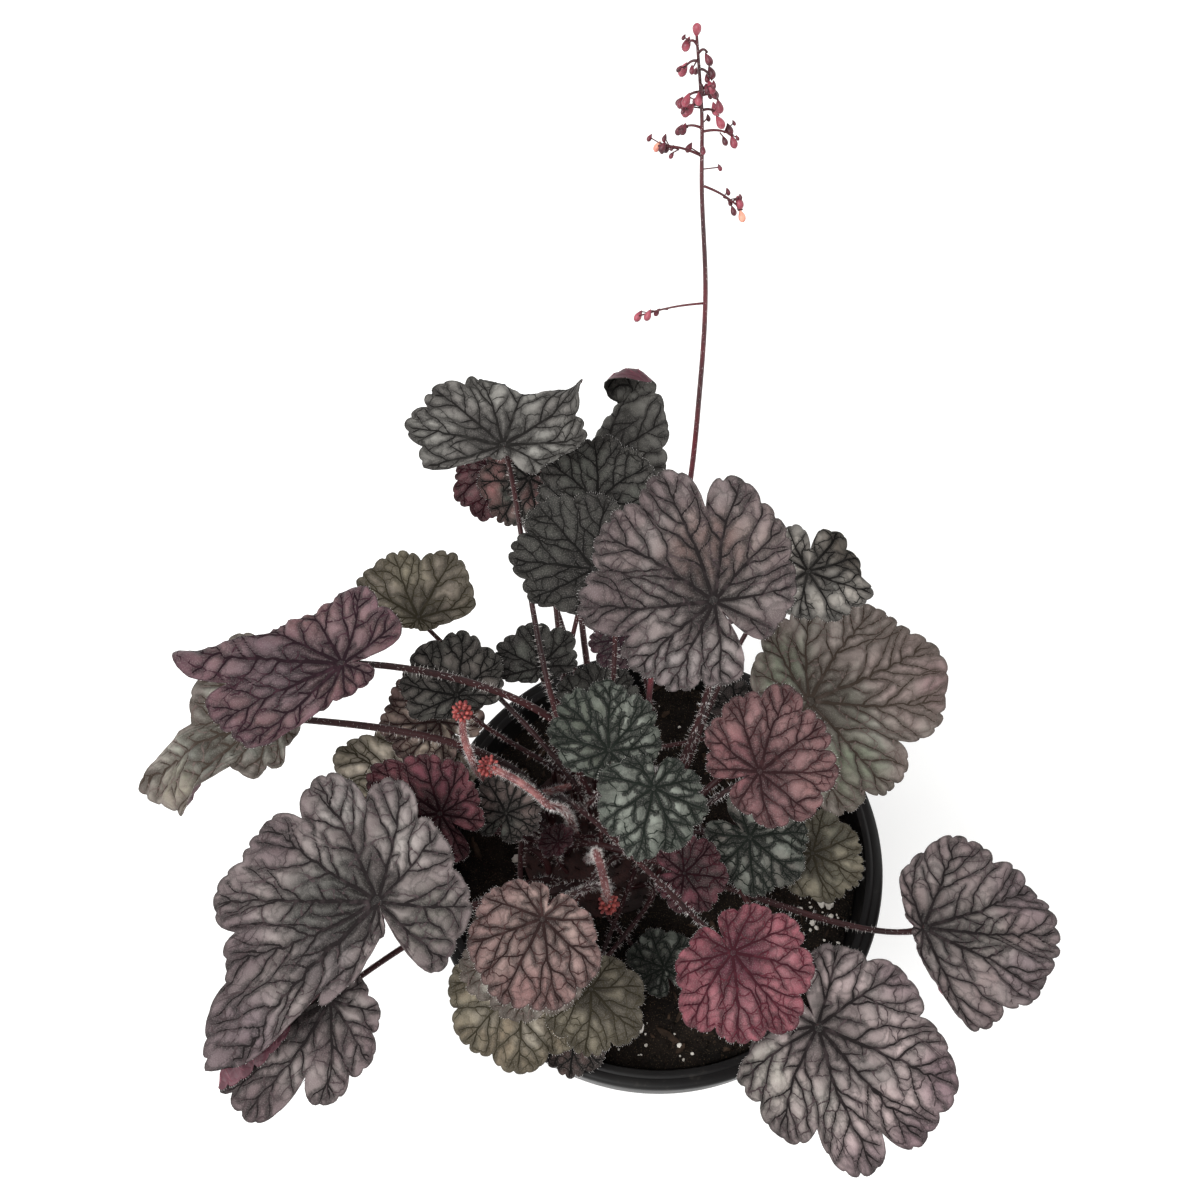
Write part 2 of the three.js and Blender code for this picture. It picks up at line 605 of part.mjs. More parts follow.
function potSolid() {
  const skirtBottom = POT_HEIGHT - RIM_DEPTH;
  const ledge = POT_HEIGHT - RIM_TOP;
  const body = lathe([
    [0, 0],
    [BASE_RADIUS - BASE_CHAMFER, 0],
    [BASE_RADIUS, BASE_CHAMFER],
    [innerRadius(ledge) + WALL, ledge],
    [RIM_RADIUS - WALL, ledge],
    [RIM_RADIUS - WALL - RIM_FLARE, skirtBottom],
    [RIM_RADIUS - RIM_FLARE, skirtBottom],
    [RIM_RADIUS, POT_HEIGHT - RIM_ROUND],
    [RIM_RADIUS - 0.3 * RIM_ROUND, POT_HEIGHT - 0.3 * RIM_ROUND],
    [RIM_RADIUS - RIM_ROUND, POT_HEIGHT],
    [RIM_RADIUS - RIM_LIP, POT_HEIGHT],
    [innerRadius(POT_HEIGHT - RIM_ROUND), POT_HEIGHT - RIM_ROUND],
    [innerRadius(FLOOR), FLOOR],
    [0, FLOOR],
  ], POT_SIDES);
  const drains = Array.from({ length: DRAIN_COUNT }, (_, k) => {
    const turn = (2 * Math.PI * k) / DRAIN_COUNT;
    const hole = post(DRAIN_RADIUS, 4 * FLOOR, 10);
    return solidOf(hole.translate(DRAIN_RING * Math.cos(turn), DRAIN_RING * Math.sin(turn), 0));
  });
  return solidOf(body).subtract(joined(drains));
}

// ---- soil and crown ----
function soilHeight(x, y) {
  const lump = Math.sin(0.31 * x + 1) * Math.cos(0.27 * y) + 0.6 * Math.sin(0.17 * (x - y));
  return SOIL_TOP + SOIL_BUMP * lump;
}

// The soil fills the pot up to a lumpy top, with a round pocket that the crown sits in.
function soilSolid() {
  const floor = FLOOR + SOIL_GAP;
  const shoulder = SOIL_TOP - 1;
  const geometry = lathe([
    [0, floor],
    [innerRadius(floor) - SOIL_GAP, floor],
    [innerRadius(shoulder) - SOIL_GAP, shoulder],
    ...[72, 60, 48, CROWN_RADIUS, 0].map((radius) => [radius, SOIL_TOP]),
  ], POT_SIDES);
  const places = geometry.attributes.position;
  for (let i = 0; i < places.count; i += 1) {
    if (places.getZ(i) > shoulder) places.setZ(i, soilHeight(places.getX(i), places.getY(i)));
  }
  const pocket = post(CROWN_RADIUS + SOIL_GAP, 2 * CROWN_DEPTH, CROWN_SIDES);
  return solidOf(geometry).subtract(solidOf(pocket.translate(CROWN_X, CROWN_Y, SOIL_TOP)));
}

// The crown is a low woody dome with a plain hole for the foot of every stalk.
function crownSolid(stalks) {
  const bottom = SOIL_TOP - CROWN_DEPTH + SOIL_GAP;
  const dome = lathe([
    [0, bottom],
    [CROWN_RADIUS - 1, bottom],
    ...[1, 0.9, 0.62, 0.32, 0].map((share) => {
      const out = share * CROWN_RADIUS;
      return [out, crownHeight(out)];
    }),
  ], CROWN_SIDES);
  const holes = stalks.map(([spot, radius]) => {
    const foot = footOf(spot);
    const width = (radius + FOOT_GAP) / Math.cos(Math.PI / FOOT_SIDES);
    const hole = post(width, 2 * (FOOT_DEPTH + FOOT_GAP), FOOT_SIDES);
    return solidOf(hole.translate(foot.x, foot.y, foot.z));
  });
  return solidOf(dome.translate(CROWN_X, CROWN_Y, 0)).subtract(joined(holes));
}

// ---- flower stems ----
function bud(place, radius, droop) {
  const shape = new THREE.OctahedronGeometry(radius, 0);
  shape.scale(1, 1, 1.35).rotateX(droop).translate(place.x, place.y, place.z);
  return solidOf(shape);
}

// The flower stem: its spot on the crown's spiral, and the points it passes through.
const SCAPE_SPOT = 16;
const SCAPE_PATH = [[-6, 24, 150], [-2, 47, 205], [6, 68, 262], [7, 73, 310], [6, 73, 350],
  [2.6, 72, 388], [1.2, 72, 410], [-1.2, 72, 431]];
// Side branches: height on the stem, compass direction, length, rise, number of buds.
const BRANCHES = [
  [347, 180, 17, -5, 3], [389, -10, 10, -6, 4], [398, 180, 10, 3, 4], [405, 0, 7, -1, 3],
  [406, 170, 5, -1, 2], [411, 10, 4, -2, 2], [412, 175, 3, -1, 2], [415, 15, 4, -2, 2],
  [416, 190, 4, -2, 2], [418, -80, 3, 0, 2], [422, -20, 3, -2, 2], [424, 175, 3, -2, 1],
  [426, 10, 2, 0, 1], [428, 190, 2, 1, 1],
];

function scapeCurve() {
  const foot = footOf(SCAPE_SPOT);
  return new THREE.CatmullRomCurve3([foot, ...SCAPE_PATH.map((p) => point(...p))]);
}

function pointAtHeight(curve, height) {
  let low = 0;
  let high = 1;
  for (let i = 0; i < 24; i += 1) {
    const middle = (low + high) / 2;
    if (curve.getPoint(middle).z < height) low = middle;
    else high = middle;
  }
  return curve.getPoint(low);
}

function scapeSolid() {
  const curve = scapeCurve();
  const along = curve.getPoints(SCAPE_STEPS);
  const path = [along[0].clone().sub(point(0, 0, FOOT_DEPTH)), ...along];
  const thin = SCAPE_RADIUS - SCAPE_TIP_RADIUS;
  const radii = path.map((_, i) => SCAPE_RADIUS - (thin * i) / (path.length - 1));
  const bodies = [stem(path, radii, SCAPE_SIDES), bud(path[path.length - 1], BUD_RADIUS, 0)];
  for (const [height, heading, length, rise, count] of BRANCHES) {
    const root = pointAtHeight(curve, height);
    const aim = point(Math.cos(radians(heading)), Math.sin(radians(heading)), 0);
    const tip = root.clone().addScaledVector(aim, length).add(point(0, 0, rise));
    bodies.push(stem([root, tip], [BRANCH_RADIUS, 0.8 * BRANCH_RADIUS], 4));
    for (let k = 0; k < count; k += 1) {
      const share = 1 - (0.42 * k) / count;
      const place = root.clone().lerp(tip, share);
      place.addScaledVector(point(-aim.y, aim.x, 0), k % 2 ? BUD_OFFSET : -BUD_OFFSET);
      place.z += k === 1 ? BUD_OFFSET : -BUD_OFFSET;
      bodies.push(bud(place, BUD_RADIUS * (1 - 0.1 * k), radians(30 * (k - 1))));
    }
  }
  return joined(bodies);
}

// Young flower stems, still bent over, each ending in a tight head of buds.
const YOUNG_SCAPES = {
  young_scape_front: {
    spot: 7, path: [[-23, -6, 140], [-22, -12, 160], [-20, -20, 162], [-18, -27, 152]],
  },
  young_scape_left: {
    spot: 4,
    path: [[-33, 8, 147], [-35.5, 6, 158], [-39, 4, 166], [-44, 7, 171], [-52, 12, 172], [-60, 17, 169]],
  },
  young_scape_back: {
    spot: 27,
    path: [[-50, 17, 142], [-63, 18, 157], [-66.5, 20.5, 171], [-68.5, 26, 178], [-68.5, 31, 184]],
  },
};

function youngScapeSolid({ spot, path }) {
  const foot = footOf(spot);
  const curve = new THREE.CatmullRomCurve3([foot, ...path.map((p) => point(...p))]);
  const points = [foot.clone().sub(point(0, 0, FOOT_DEPTH)), ...curve.getPoints(YOUNG_STEPS)];
  const bodies = [stem(points, points.map(() => YOUNG_RADIUS), STALK_SIDES)];
  const head = points[points.length - 1];
  bodies.push(bud(head, HEAD_RADIUS, 0));
  for (let k = 0; k < HEAD_BUDS; k += 1) {
    const turn = radians(k * GOLDEN_ANGLE);
    const lift = 1 - (2 * k) / (HEAD_BUDS - 1);
    const offset = point(Math.cos(turn), Math.sin(turn), lift).multiplyScalar(HEAD_RADIUS * 0.62);
    bodies.push(bud(head.clone().add(offset), BUD_RADIUS * 0.75, 0));
  }
  return joined(bodies);
}

// ---- the plant ----
const plant = new THREE.Group();
plant.name = 'heuchera_in_pot';

function addNode(name, body, color, roughness = 0.6) {
  const material = new THREE.MeshStandardMaterial({ color, roughness, metalness: 0 });
  const mesh = new THREE.Mesh(geometryOf(body), material);
  mesh.name = name;
  plant.add(mesh);
}

const stalkSpots = Object.values(LEAVES).map((leaf) => [leaf.spot, stalkRadius(leaf)]);
stalkSpots.push([SCAPE_SPOT, SCAPE_RADIUS]);
Object.values(YOUNG_SCAPES).forEach(({ spot }) => stalkSpots.push([spot, YOUNG_RADIUS]));

addNode('pot', potSolid(), 0x232321, 0.5);
addNode('soil', soilSolid(), 0x1c1714, 0.95);
addNode('crown', crownSolid(stalkSpots), 0x3a241f, 0.85);
for (const [name, leaf] of Object.entries(LEAVES)) {
  addNode(name, leafSolid(leaf), KIND_COLOUR[leaf.kind]);
}
addNode('scape', scapeSolid(), 0x7a2f3a, 0.55);
for (const [name, young] of Object.entries(YOUNG_SCAPES)) {
  addNode(name, youngScapeSolid(young), 0xb04a52, 0.55);
}

export default plant;
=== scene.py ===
"""A heuchera (coral bells) in its nursery pot, dressed for rendering.

Shapes are worked out in millimetres, as in the solid model, and become metres in each mesh.
"""

import bpy
import math
import random
import numpy as np
from mathutils import Euler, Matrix, Vector, kdtree, noise


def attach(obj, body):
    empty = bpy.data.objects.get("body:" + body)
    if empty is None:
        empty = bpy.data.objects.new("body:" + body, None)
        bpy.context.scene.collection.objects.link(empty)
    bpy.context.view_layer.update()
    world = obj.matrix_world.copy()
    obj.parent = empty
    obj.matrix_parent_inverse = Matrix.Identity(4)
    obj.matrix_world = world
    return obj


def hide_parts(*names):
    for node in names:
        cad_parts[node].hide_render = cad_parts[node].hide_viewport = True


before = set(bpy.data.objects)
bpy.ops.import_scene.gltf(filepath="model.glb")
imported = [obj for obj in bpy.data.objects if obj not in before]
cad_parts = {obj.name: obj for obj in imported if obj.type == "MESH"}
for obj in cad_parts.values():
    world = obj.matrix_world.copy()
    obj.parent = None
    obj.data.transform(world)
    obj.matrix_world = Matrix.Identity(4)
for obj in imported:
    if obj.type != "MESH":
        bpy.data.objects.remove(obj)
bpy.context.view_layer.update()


# ---- the nursery pot ----
# Thin black plastic moulded in one shot: a tapered wall under a flat rim, with a short skirt round
# it, fine rings left by the mould, and drain holes in the base. It stands free on its base.
MM = 0.001
POT_HEIGHT = 125
RIM_RADIUS = 84
RIM_LIP = 5
RIM_DEPTH = 20
RIM_TOP = 3
RIM_FLARE = 2
RIM_ROUND = 1.6
BASE_RADIUS = 60
BASE_CHAMFER = 1.5
BASE_RING = 8
EDGE_ROUND = 0.2
GROOVE_START = 0.9
GROOVE_END = 1.7
GROOVE_DEPTH = 0.25
STEP_UP = 9
STEP_DEPTH = 0.6
STEP_OUT = 0.25
MID_HEIGHT = 60
MOULD_RING = 0.12
MOULD_RING_RATE = 1.1  # radians to a millimetre
WALL = 1.6
FLOOR = 2.5
DRAIN_COUNT = 6
DRAIN_RADIUS = 5
DRAIN_RING = 46
DRAIN_SIDES = 32
POT_SIDES = 192
WALL_STEPS = 40
SHARP_EDGE = 40  # degrees


def linear(hexes):
    """A colour for a shader from its six hex digits."""
    parts = [int(hexes[i:i + 2], 16) / 255 for i in (0, 2, 4)]
    return [p / 12.92 if p <= 0.04045 else ((p + 0.055) / 1.055) ** 2.4 for p in parts] + [1.0]


def new_finish(name, roughness):
    """A material with one shader, and the tree that its patterns go into."""
    material = bpy.data.materials.new(name)
    material.use_nodes = True
    shader = material.node_tree.nodes["Principled BSDF"]
    shader.inputs["Roughness"].default_value = roughness
    return material, material.node_tree, shader


def pattern(tree, kind, place, **settings):
    """A texture that reads the given place, with its settings by name."""
    node = tree.nodes.new("ShaderNodeTex" + kind)
    for key, value in settings.items():
        if hasattr(node, key):
            setattr(node, key, value)
        else:
            node.inputs[key.title()].default_value = value
    tree.links.new(place, node.inputs["Vector"])
    return node


def object_place(tree):
    """Where each point lies in the frame, in metres."""
    return tree.nodes.new("ShaderNodeTexCoord").outputs["Object"]


def spread(tree, value, low, high, start=0.0, end=1.0):
    """The value's way from low to high, stretched to run from start to end."""
    node = tree.nodes.new("ShaderNodeMapRange")
    tree.links.new(value, node.inputs["Value"])
    for name, number in (("From Min", low), ("From Max", high), ("To Min", start), ("To Max", end)):
        node.inputs[name].default_value = number
    return node.outputs["Result"]


def reckon(tree, operation, first, second=None):
    """Arithmetic on two values, each a socket or a number."""
    node = tree.nodes.new("ShaderNodeMath")
    node.operation = operation
    for socket, value in zip(node.inputs, (first, second)):
        if isinstance(value, bpy.types.NodeSocket):
            tree.links.new(value, socket)
        elif value is not None:
            socket.default_value = value
    return node.outputs["Value"]


def blend_colours(tree, share, first, second):
    """One colour over another by a share; each is a socket, a number or six hex digits."""
    node = tree.nodes.new("ShaderNodeMix")
    node.data_type = "RGBA"
    factor = node.inputs[0]
    first_colour, second_colour = node.inputs[6:8]
    for socket, value in ((factor, share), (first_colour, first), (second_colour, second)):
        if isinstance(value, bpy.types.NodeSocket):
            tree.links.new(value, socket)
        else:
            socket.default_value = linear(value) if isinstance(value, str) else value
    return node.outputs[2]


def raise_surface(tree, shader, height, depth_mm, strength=1.0):
    """Fine relief too small for the mesh."""
    node = tree.nodes.new("ShaderNodeBump")
    node.inputs["Strength"].default_value = strength
    node.inputs["Distance"].default_value = depth_mm * MM
    tree.links.new(height, node.inputs["Height"])
    tree.links.new(node.outputs["Normal"], shader.inputs["Normal"])


def make_piece(name, shapes, finishes):
    """One object from shapes of (points in mm, groups of (faces, finish number, smooth))."""
    points = np.concatenate([np.asarray(shape[0], float).reshape(-1, 3) for shape in shapes]) * MM
    corners, starts, finish_numbers, smooth = [], [], [], []
    first_point = 0
    corner_count = 0
    for shape_points, groups in shapes:
        for faces, finish_number, is_smooth in groups:
            faces = np.asarray(faces, int)
            corners.append((faces + first_point).ravel())
            starts.append(corner_count + faces.shape[1] * np.arange(len(faces)))
            finish_numbers.append(np.full(len(faces), finish_number))
            smooth.append(np.full(len(faces), is_smooth))
            corner_count += faces.size
        first_point += len(shape_points)
    mesh = bpy.data.meshes.new(name)
    mesh.vertices.add(len(points))
    mesh.vertices.foreach_set("co", points.ravel())
    mesh.loops.add(corner_count)
    mesh.loops.foreach_set("vertex_index", np.concatenate(corners))
    mesh.polygons.add(sum(len(part) for part in starts))
    mesh.polygons.foreach_set("loop_start", np.concatenate(starts))
    mesh.polygons.foreach_set("material_index", np.concatenate(finish_numbers))
    mesh.polygons.foreach_set("use_smooth", np.concatenate(smooth))
    mesh.update(calc_edges=True)
    for finish in finishes:
        mesh.materials.append(finish)
    piece = bpy.data.objects.new(name, mesh)
    bpy.context.scene.collection.objects.link(piece)
    return piece


def painted(shape, finish_number=0, smooth=True):
    """A shape of (points, lists of faces) with one finish all over."""
    points, face_lists = shape
    return points, [(faces, finish_number, smooth) for faces in face_lists]


def grid_faces(rows, columns):
    """Quads between neighbouring rows of points; the last column joins the first."""
    across = np.arange(columns)
    start = np.arange(rows - 1)[:, None] * columns
    after = (across + 1) % columns
    quads = np.stack([start + across, start + columns + across, start + columns + after,
                      start + after], -1)
    return quads.reshape(-1, 4)


def fan(centre, ring):
    """Triangles from one point to a closed ring of points."""
    ring = np.asarray(ring)
    return np.stack([np.full(len(ring), centre), ring, np.roll(ring, -1)], -1)


def turned(profile, sides):
    """Points and faces of a profile of (radius, height) pairs turned about Z, closed on the axis."""
    radii, heights = np.array(profile[1:-1], float).T
    turns = np.linspace(0, 2 * np.pi, sides, endpoint=False)
    rings = np.stack([radii[:, None] * np.cos(turns), radii[:, None] * np.sin(turns),
                      np.repeat(heights[:, None], sides, 1)], -1)
    ends = np.array([[0, 0, profile[0][1]], [0, 0, profile[-1][1]]])
    points = np.concatenate([rings.reshape(-1, 3), ends])
    count = len(radii) * sides
    first = np.arange(sides)
    last = first + count - sides
    quads = grid_faces(len(radii), sides)[:, ::-1]
    return points, [quads, fan(count, first[::-1]), fan(count + 1, last)]


def inner_radius(height):
    """Radius of the pot's tapered wall, on the inside."""
    low = BASE_RADIUS - WALL
    high = RIM_RADIUS - RIM_LIP - WALL
    return low + (high - low) * height / POT_HEIGHT


def pot_profile():
    """The wall's outline from the middle of the base, out, up, over the rim and down inside."""
    ledge = POT_HEIGHT - RIM_TOP
    skirt = POT_HEIGHT - RIM_DEPTH
    skirt_radius = RIM_RADIUS - RIM_FLARE
    step_radius = RIM_RADIUS - 0.55 * RIM_FLARE
    lip = RIM_RADIUS - RIM_LIP
    outer = [(inner_radius(z) + WALL + MOULD_RING * math.sin(z * MOULD_RING_RATE) ** 8, z)
             for z in np.linspace(BASE_CHAMFER * 2, ledge, WALL_STEPS)]
    arc = [(RIM_RADIUS - RIM_ROUND * (1 - math.cos(a)), POT_HEIGHT - RIM_ROUND * (1 - math.sin(a)))
           for a in np.linspace(0, math.pi / 2, 6)]
    groove = [(lip + GROOVE_END, POT_HEIGHT),
              (lip + (GROOVE_START + GROOVE_END) / 2, POT_HEIGHT - GROOVE_DEPTH),
              (lip + GROOVE_START, POT_HEIGHT)]
    return [
        (0, 0), (BASE_RADIUS - BASE_RING, 0), (BASE_RADIUS - BASE_CHAMFER, 0),
        (BASE_RADIUS - 0.4 * BASE_CHAMFER, 0.35 * BASE_CHAMFER), (BASE_RADIUS, BASE_CHAMFER),
        *outer,
        (RIM_RADIUS - WALL, ledge), (skirt_radius - WALL, skirt),
        (skirt_radius - WALL + EDGE_ROUND, skirt - EDGE_ROUND),
        (skirt_radius - EDGE_ROUND, skirt - EDGE_ROUND), (skirt_radius, skirt),
        (step_radius, skirt + STEP_UP), (step_radius + STEP_OUT, skirt + STEP_UP + STEP_DEPTH),
        *arc,
        *groove,
        (lip, POT_HEIGHT), (inner_radius(POT_HEIGHT) + EDGE_ROUND, POT_HEIGHT - 0.5),
        (inner_radius(POT_HEIGHT - RIM_ROUND), POT_HEIGHT - RIM_ROUND),
        (inner_radius(MID_HEIGHT), MID_HEIGHT), (inner_radius(FLOOR), FLOOR), (0, FLOOR),
    ]


def drill_drains(pot):
    """Cuts the drain holes through the base."""
    for k in range(DRAIN_COUNT):
        turn = 2 * math.pi * k / DRAIN_COUNT
        points, faces = turned([(0, -FLOOR), (DRAIN_RADIUS, -FLOOR), (DRAIN_RADIUS, 2 * FLOOR),
                                (0, 2 * FLOOR)], DRAIN_SIDES)
        points = points + [DRAIN_RING * math.cos(turn), DRAIN_RING * math.sin(turn), 0]
        drill = make_piece("drill", [painted((points, faces))], [])
        cut = pot.modifiers.new("drain", "BOOLEAN")
        cut.object = drill
        bpy.context.view_layer.update()
        seen = pot.evaluated_get(bpy.context.evaluated_depsgraph_get())
        cut_mesh = bpy.data.meshes.new_from_object(seen)
        pot.modifiers.clear()
        pot.data = cut_mesh
        bpy.data.objects.remove(drill)


def black_plastic():
    """Recycled black plastic: slightly uneven gloss, pale scuffs and dried splashes of soil."""
    material, tree, shader = new_finish("black_plastic", 0.4)
    place = object_place(tree)
    cloud = pattern(tree, "Noise", place, scale=28, detail=6).outputs[0]
    grain = pattern(tree, "Noise", place, scale=900, detail=3).outputs[0]
    splash = pattern(tree, "Noise", place, scale=130, detail=8, roughness=0.7).outputs[0]
    worn = blend_colours(tree, spread(tree, cloud, 0.45, 0.75), "100f0f", "1c1b1a")
    dusty = blend_colours(tree, spread(tree, splash, 0.6, 0.72, 0, 0.35), worn, "4b463f")
    tree.links.new(dusty, shader.inputs["Base Color"])
    tree.links.new(spread(tree, cloud, 0.3, 0.7, 0.4, 0.58), shader.inputs["Roughness"])
    shader.inputs["Specular IOR Level"].default_value = 0.22
    raise_surface(tree, shader, grain, 0.05)
    return material


pot = make_piece("moulded_pot", [painted(turned(pot_profile(), POT_SIDES))], [black_plastic()])
drill_drains(pot)
pot.data.set_sharp_from_angle(angle=math.radians(SHARP_EDGE))
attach(pot, "root")
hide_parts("pot")


# ---- the compost ----
# Dark peat and fine bark that fills the pot to a little under its rim, rough with crumbs, shreds
# of bark and white perlite. The bulk is one body; each loose bit is bedded in its top.
SOIL_TOP = 113
SOIL_BUMP = 0.7
SOIL_GAP = 0.3
SOIL_RINGS = 60
SOIL_SIDES = 220
SOIL_REACH = 75
CLOD_HEIGHT = 1.3
CLOD_RATE = 0.16
CRUMB_HEIGHT = 0.35
CRUMB_RATE = 0.9
CRUMB_COUNT = 1500
CRUMB_RADII = (0.5, 1.7)
SHRED_COUNT = 170
SHRED_RADII = (0.6, 1.6)
PERLITE_RADII = (0.35, 2.0)
PERLITE_REACH = 74
PERLITE_CLUSTERS = [  # middle x and y, spread, number of chips
    (61, -18, 6, 26), (61, -33, 4, 8), (-10, -69, 5, 9), (3, -68, 12, 20), (70, -8, 5, 6),
    (30, -40, 12, 10), (-60, 55, 20, 14), (20, 66, 18, 16), (66, 36, 12, 14), (0, 0, 70, 50),
]


def soil_height(x, y):
    """The compost's top: the slow swells of the solid model, then clods and fine crumb."""
    swell = math.sin(0.31 * x + 1) * math.cos(0.27 * y) + 0.6 * math.sin(0.17 * (x - y))
    clod = noise.fractal(Vector((x, y, 0)) * CLOD_RATE, 1.0, 2.1, 4)
    crumb = noise.noise(Vector((x, y, 9)) * CRUMB_RATE)
    return SOIL_TOP + SOIL_BUMP * swell + CLOD_HEIGHT * clod + CRUMB_HEIGHT * crumb


def soil_body():
    """The bulk: a fine rough top on a plain tapered plug."""
    wall = inner_radius(SOIL_TOP - 1) - SOIL_GAP
    turns = np.linspace(0, 2 * np.pi, SOIL_SIDES, endpoint=False)
    rings = []
    for share in np.linspace(0, 1, SOIL_RINGS + 1)[1:]:
        x, y = wall * share * np.cos(turns), wall * share * np.sin(turns)
        rings.append([(a, b, soil_height(a, b)) for a, b in zip(x, y)])
    for height in (SOIL_TOP - 6, FLOOR + SOIL_GAP):
        radius = inner_radius(height) - SOIL_GAP
        rings.append([(radius * math.cos(a), radius * math.sin(a), height) for a in turns])
    points = np.concatenate([np.array(rings).reshape(-1, 3), [(0, 0, soil_height(0, 0))],
                             [(0, 0, FLOOR + SOIL_GAP)]])
    count = len(rings) * SOIL_SIDES
    first = np.arange(SOIL_SIDES)
    last = first + count - SOIL_SIDES
    return points, [grid_faces(len(rings), SOIL_SIDES), fan(count, first), fan(count + 1, last[::-1])]


def lump(rng, detail):
    """A rough unit stone: an icosahedron, split once if detail is 2, with each corner moved."""
    golden = (1 + 5 ** 0.5) / 2
    corners = [Vector(p).normalized() for p in (
        (-1, golden, 0), (1, golden, 0), (-1, -golden, 0), (1, -golden, 0), (0, -1, golden),
        (0, 1, golden), (0, -1, -golden), (0, 1, -golden), (golden, 0, -1), (golden, 0, 1),
        (-golden, 0, -1), (-golden, 0, 1))]
    faces = [(0, 11, 5), (0, 5, 1), (0, 1, 7), (0, 7, 10), (0, 10, 11), (1, 5, 9), (5, 11, 4),
             (11, 10, 2), (10, 7, 6), (7, 1, 8), (3, 9, 4), (3, 4, 2), (3, 2, 6), (3, 6, 8),
             (3, 8, 9), (4, 9, 5), (2, 4, 11), (6, 2, 10), (8, 6, 7), (9, 8, 1)]
    if detail == 2:
        middles = {}
        split = []
        for face in faces:
            edge_points = []
            for i in range(3):
                pair = tuple(sorted((face[i], face[(i + 1) % 3])))
                if pair not in middles:
                    middles[pair] = len(corners)
                    corners.append((corners[pair[0]] + corners[pair[1]]).normalized())
                edge_points.append(middles[pair])
            ab, bc, ca = edge_points
            a, b, c = face
            split += [(a, ab, ca), (b, bc, ab), (c, ca, bc), (ab, bc, ca)]
        faces = split
    points = np.array([p * rng.uniform(0.78, 1.15) for p in corners])
    return points, np.array(faces)


def scatter(rng, places, radii, stretch, sink, detail):
    """Many lumps, mostly small, each turned at random and bedded in the compost at its place.

    stretch is the range of lengths in radii. A sink of 0.5 puts a lump's middle level with the
    compost, and a lower one lets it stand higher.
    """
    smallest, largest = radii
    all_points, all_faces = [], []
    for i, (x, y) in enumerate(places):
        points, faces = lump(rng, detail)
        size = smallest + (largest - smallest) * rng.random() ** 3
        points = points * [size * rng.uniform(*stretch), size, size * rng.uniform(0.55, 0.95)]
        tilt = Euler((rng.uniform(-0.5, 0.5), rng.uniform(-0.5, 0.5), rng.uniform(0, 6.28)))
        points = points @ np.array(tilt.to_matrix()).T
        all_points.append(points + [x, y, soil_height(x, y) + size * (0.5 - sink)])
        all_faces.append(faces + i * len(points))
    return np.concatenate(all_points), [np.concatenate(all_faces)]


def spots_on_soil(rng, count):
    """Places spread evenly over the compost's round top."""
    spots = []
    while len(spots) < count:
        x, y = rng.uniform(-SOIL_REACH, SOIL_REACH), rng.uniform(-SOIL_REACH, SOIL_REACH)
        if math.hypot(x, y) < SOIL_REACH:
            spots.append((x, y))
    return spots


def perlite_spots(rng):
    """The white chips lie in loose clusters where watering has washed them together."""
    spots = []
    for x, y, spread_mm, count in PERLITE_CLUSTERS:
        for _ in range(count):
            a, b = rng.gauss(x, spread_mm), rng.gauss(y, spread_mm)
            if math.hypot(a, b) < PERLITE_REACH:
                spots.append((a, b))
    return spots


def peat():
    """Damp peat: near black with brown fibre and paler dry crumbs."""
    material, tree, shader = new_finish("peat", 0.92)
    shader.inputs["Specular IOR Level"].default_value = 0.15
    place = object_place(tree)
    patches = pattern(tree, "Noise", place, scale=60, detail=8, roughness=0.65).outputs[0]
    specks = pattern(tree, "Voronoi", place, scale=1300).outputs["Distance"]
    fibre = pattern(tree, "Noise", place, scale=420, detail=4, distortion=2.5).outputs[0]
    dark = blend_colours(tree, spread(tree, patches, 0.35, 0.7), "0d0b09", "221b16")
    fibrous = blend_colours(tree, spread(tree, fibre, 0.62, 0.74, 0, 0.6), dark, "4a392b")
    speckled = blend_colours(tree, spread(tree, specks, 0.0, 0.28, 0.8, 0), fibrous, "655743")
    tree.links.new(speckled, shader.inputs["Base Color"])
    raise_surface(tree, shader, fibre, 0.8)
    return material


def bark():
    """Shreds of composted bark, red-brown to grey."""
    material, tree, shader = new_finish("bark", 0.85)
    shader.inputs["Specular IOR Level"].default_value = 0.2
    place = object_place(tree)
    tone = pattern(tree, "Noise", place, scale=140, detail=2).outputs[0]
    grain = pattern(tree, "Noise", place, scale=1500, detail=3).outputs[0]
    shade = blend_colours(tree, spread(tree, tone, 0.3, 0.7), "231912", "45362a")
    grained = blend_colours(tree, spread(tree, grain, 0.4, 0.7, 0, 0.5), shade, "17100c")
    tree.links.new(grained, shader.inputs["Base Color"])
    raise_surface(tree, shader, grain, 0.15)
    return material


def white_perlite():
    """Expanded volcanic glass: chalk white, pitted, a little soiled."""
    material, tree, shader = new_finish("white_perlite", 0.9)
    place = object_place(tree)
    pits = pattern(tree, "Voronoi", place, scale=2200).outputs["Distance"]
    dirt = pattern(tree, "Noise", place, scale=300, detail=4).outputs[0]
    soiled = blend_colours(tree, spread(tree, dirt, 0.5, 0.72, 0, 0.7), "ded9cf", "8d8171")
    tree.links.new(soiled, shader.inputs["Base Color"])
    raise_surface(tree, shader, pits, 0.25)
    return material


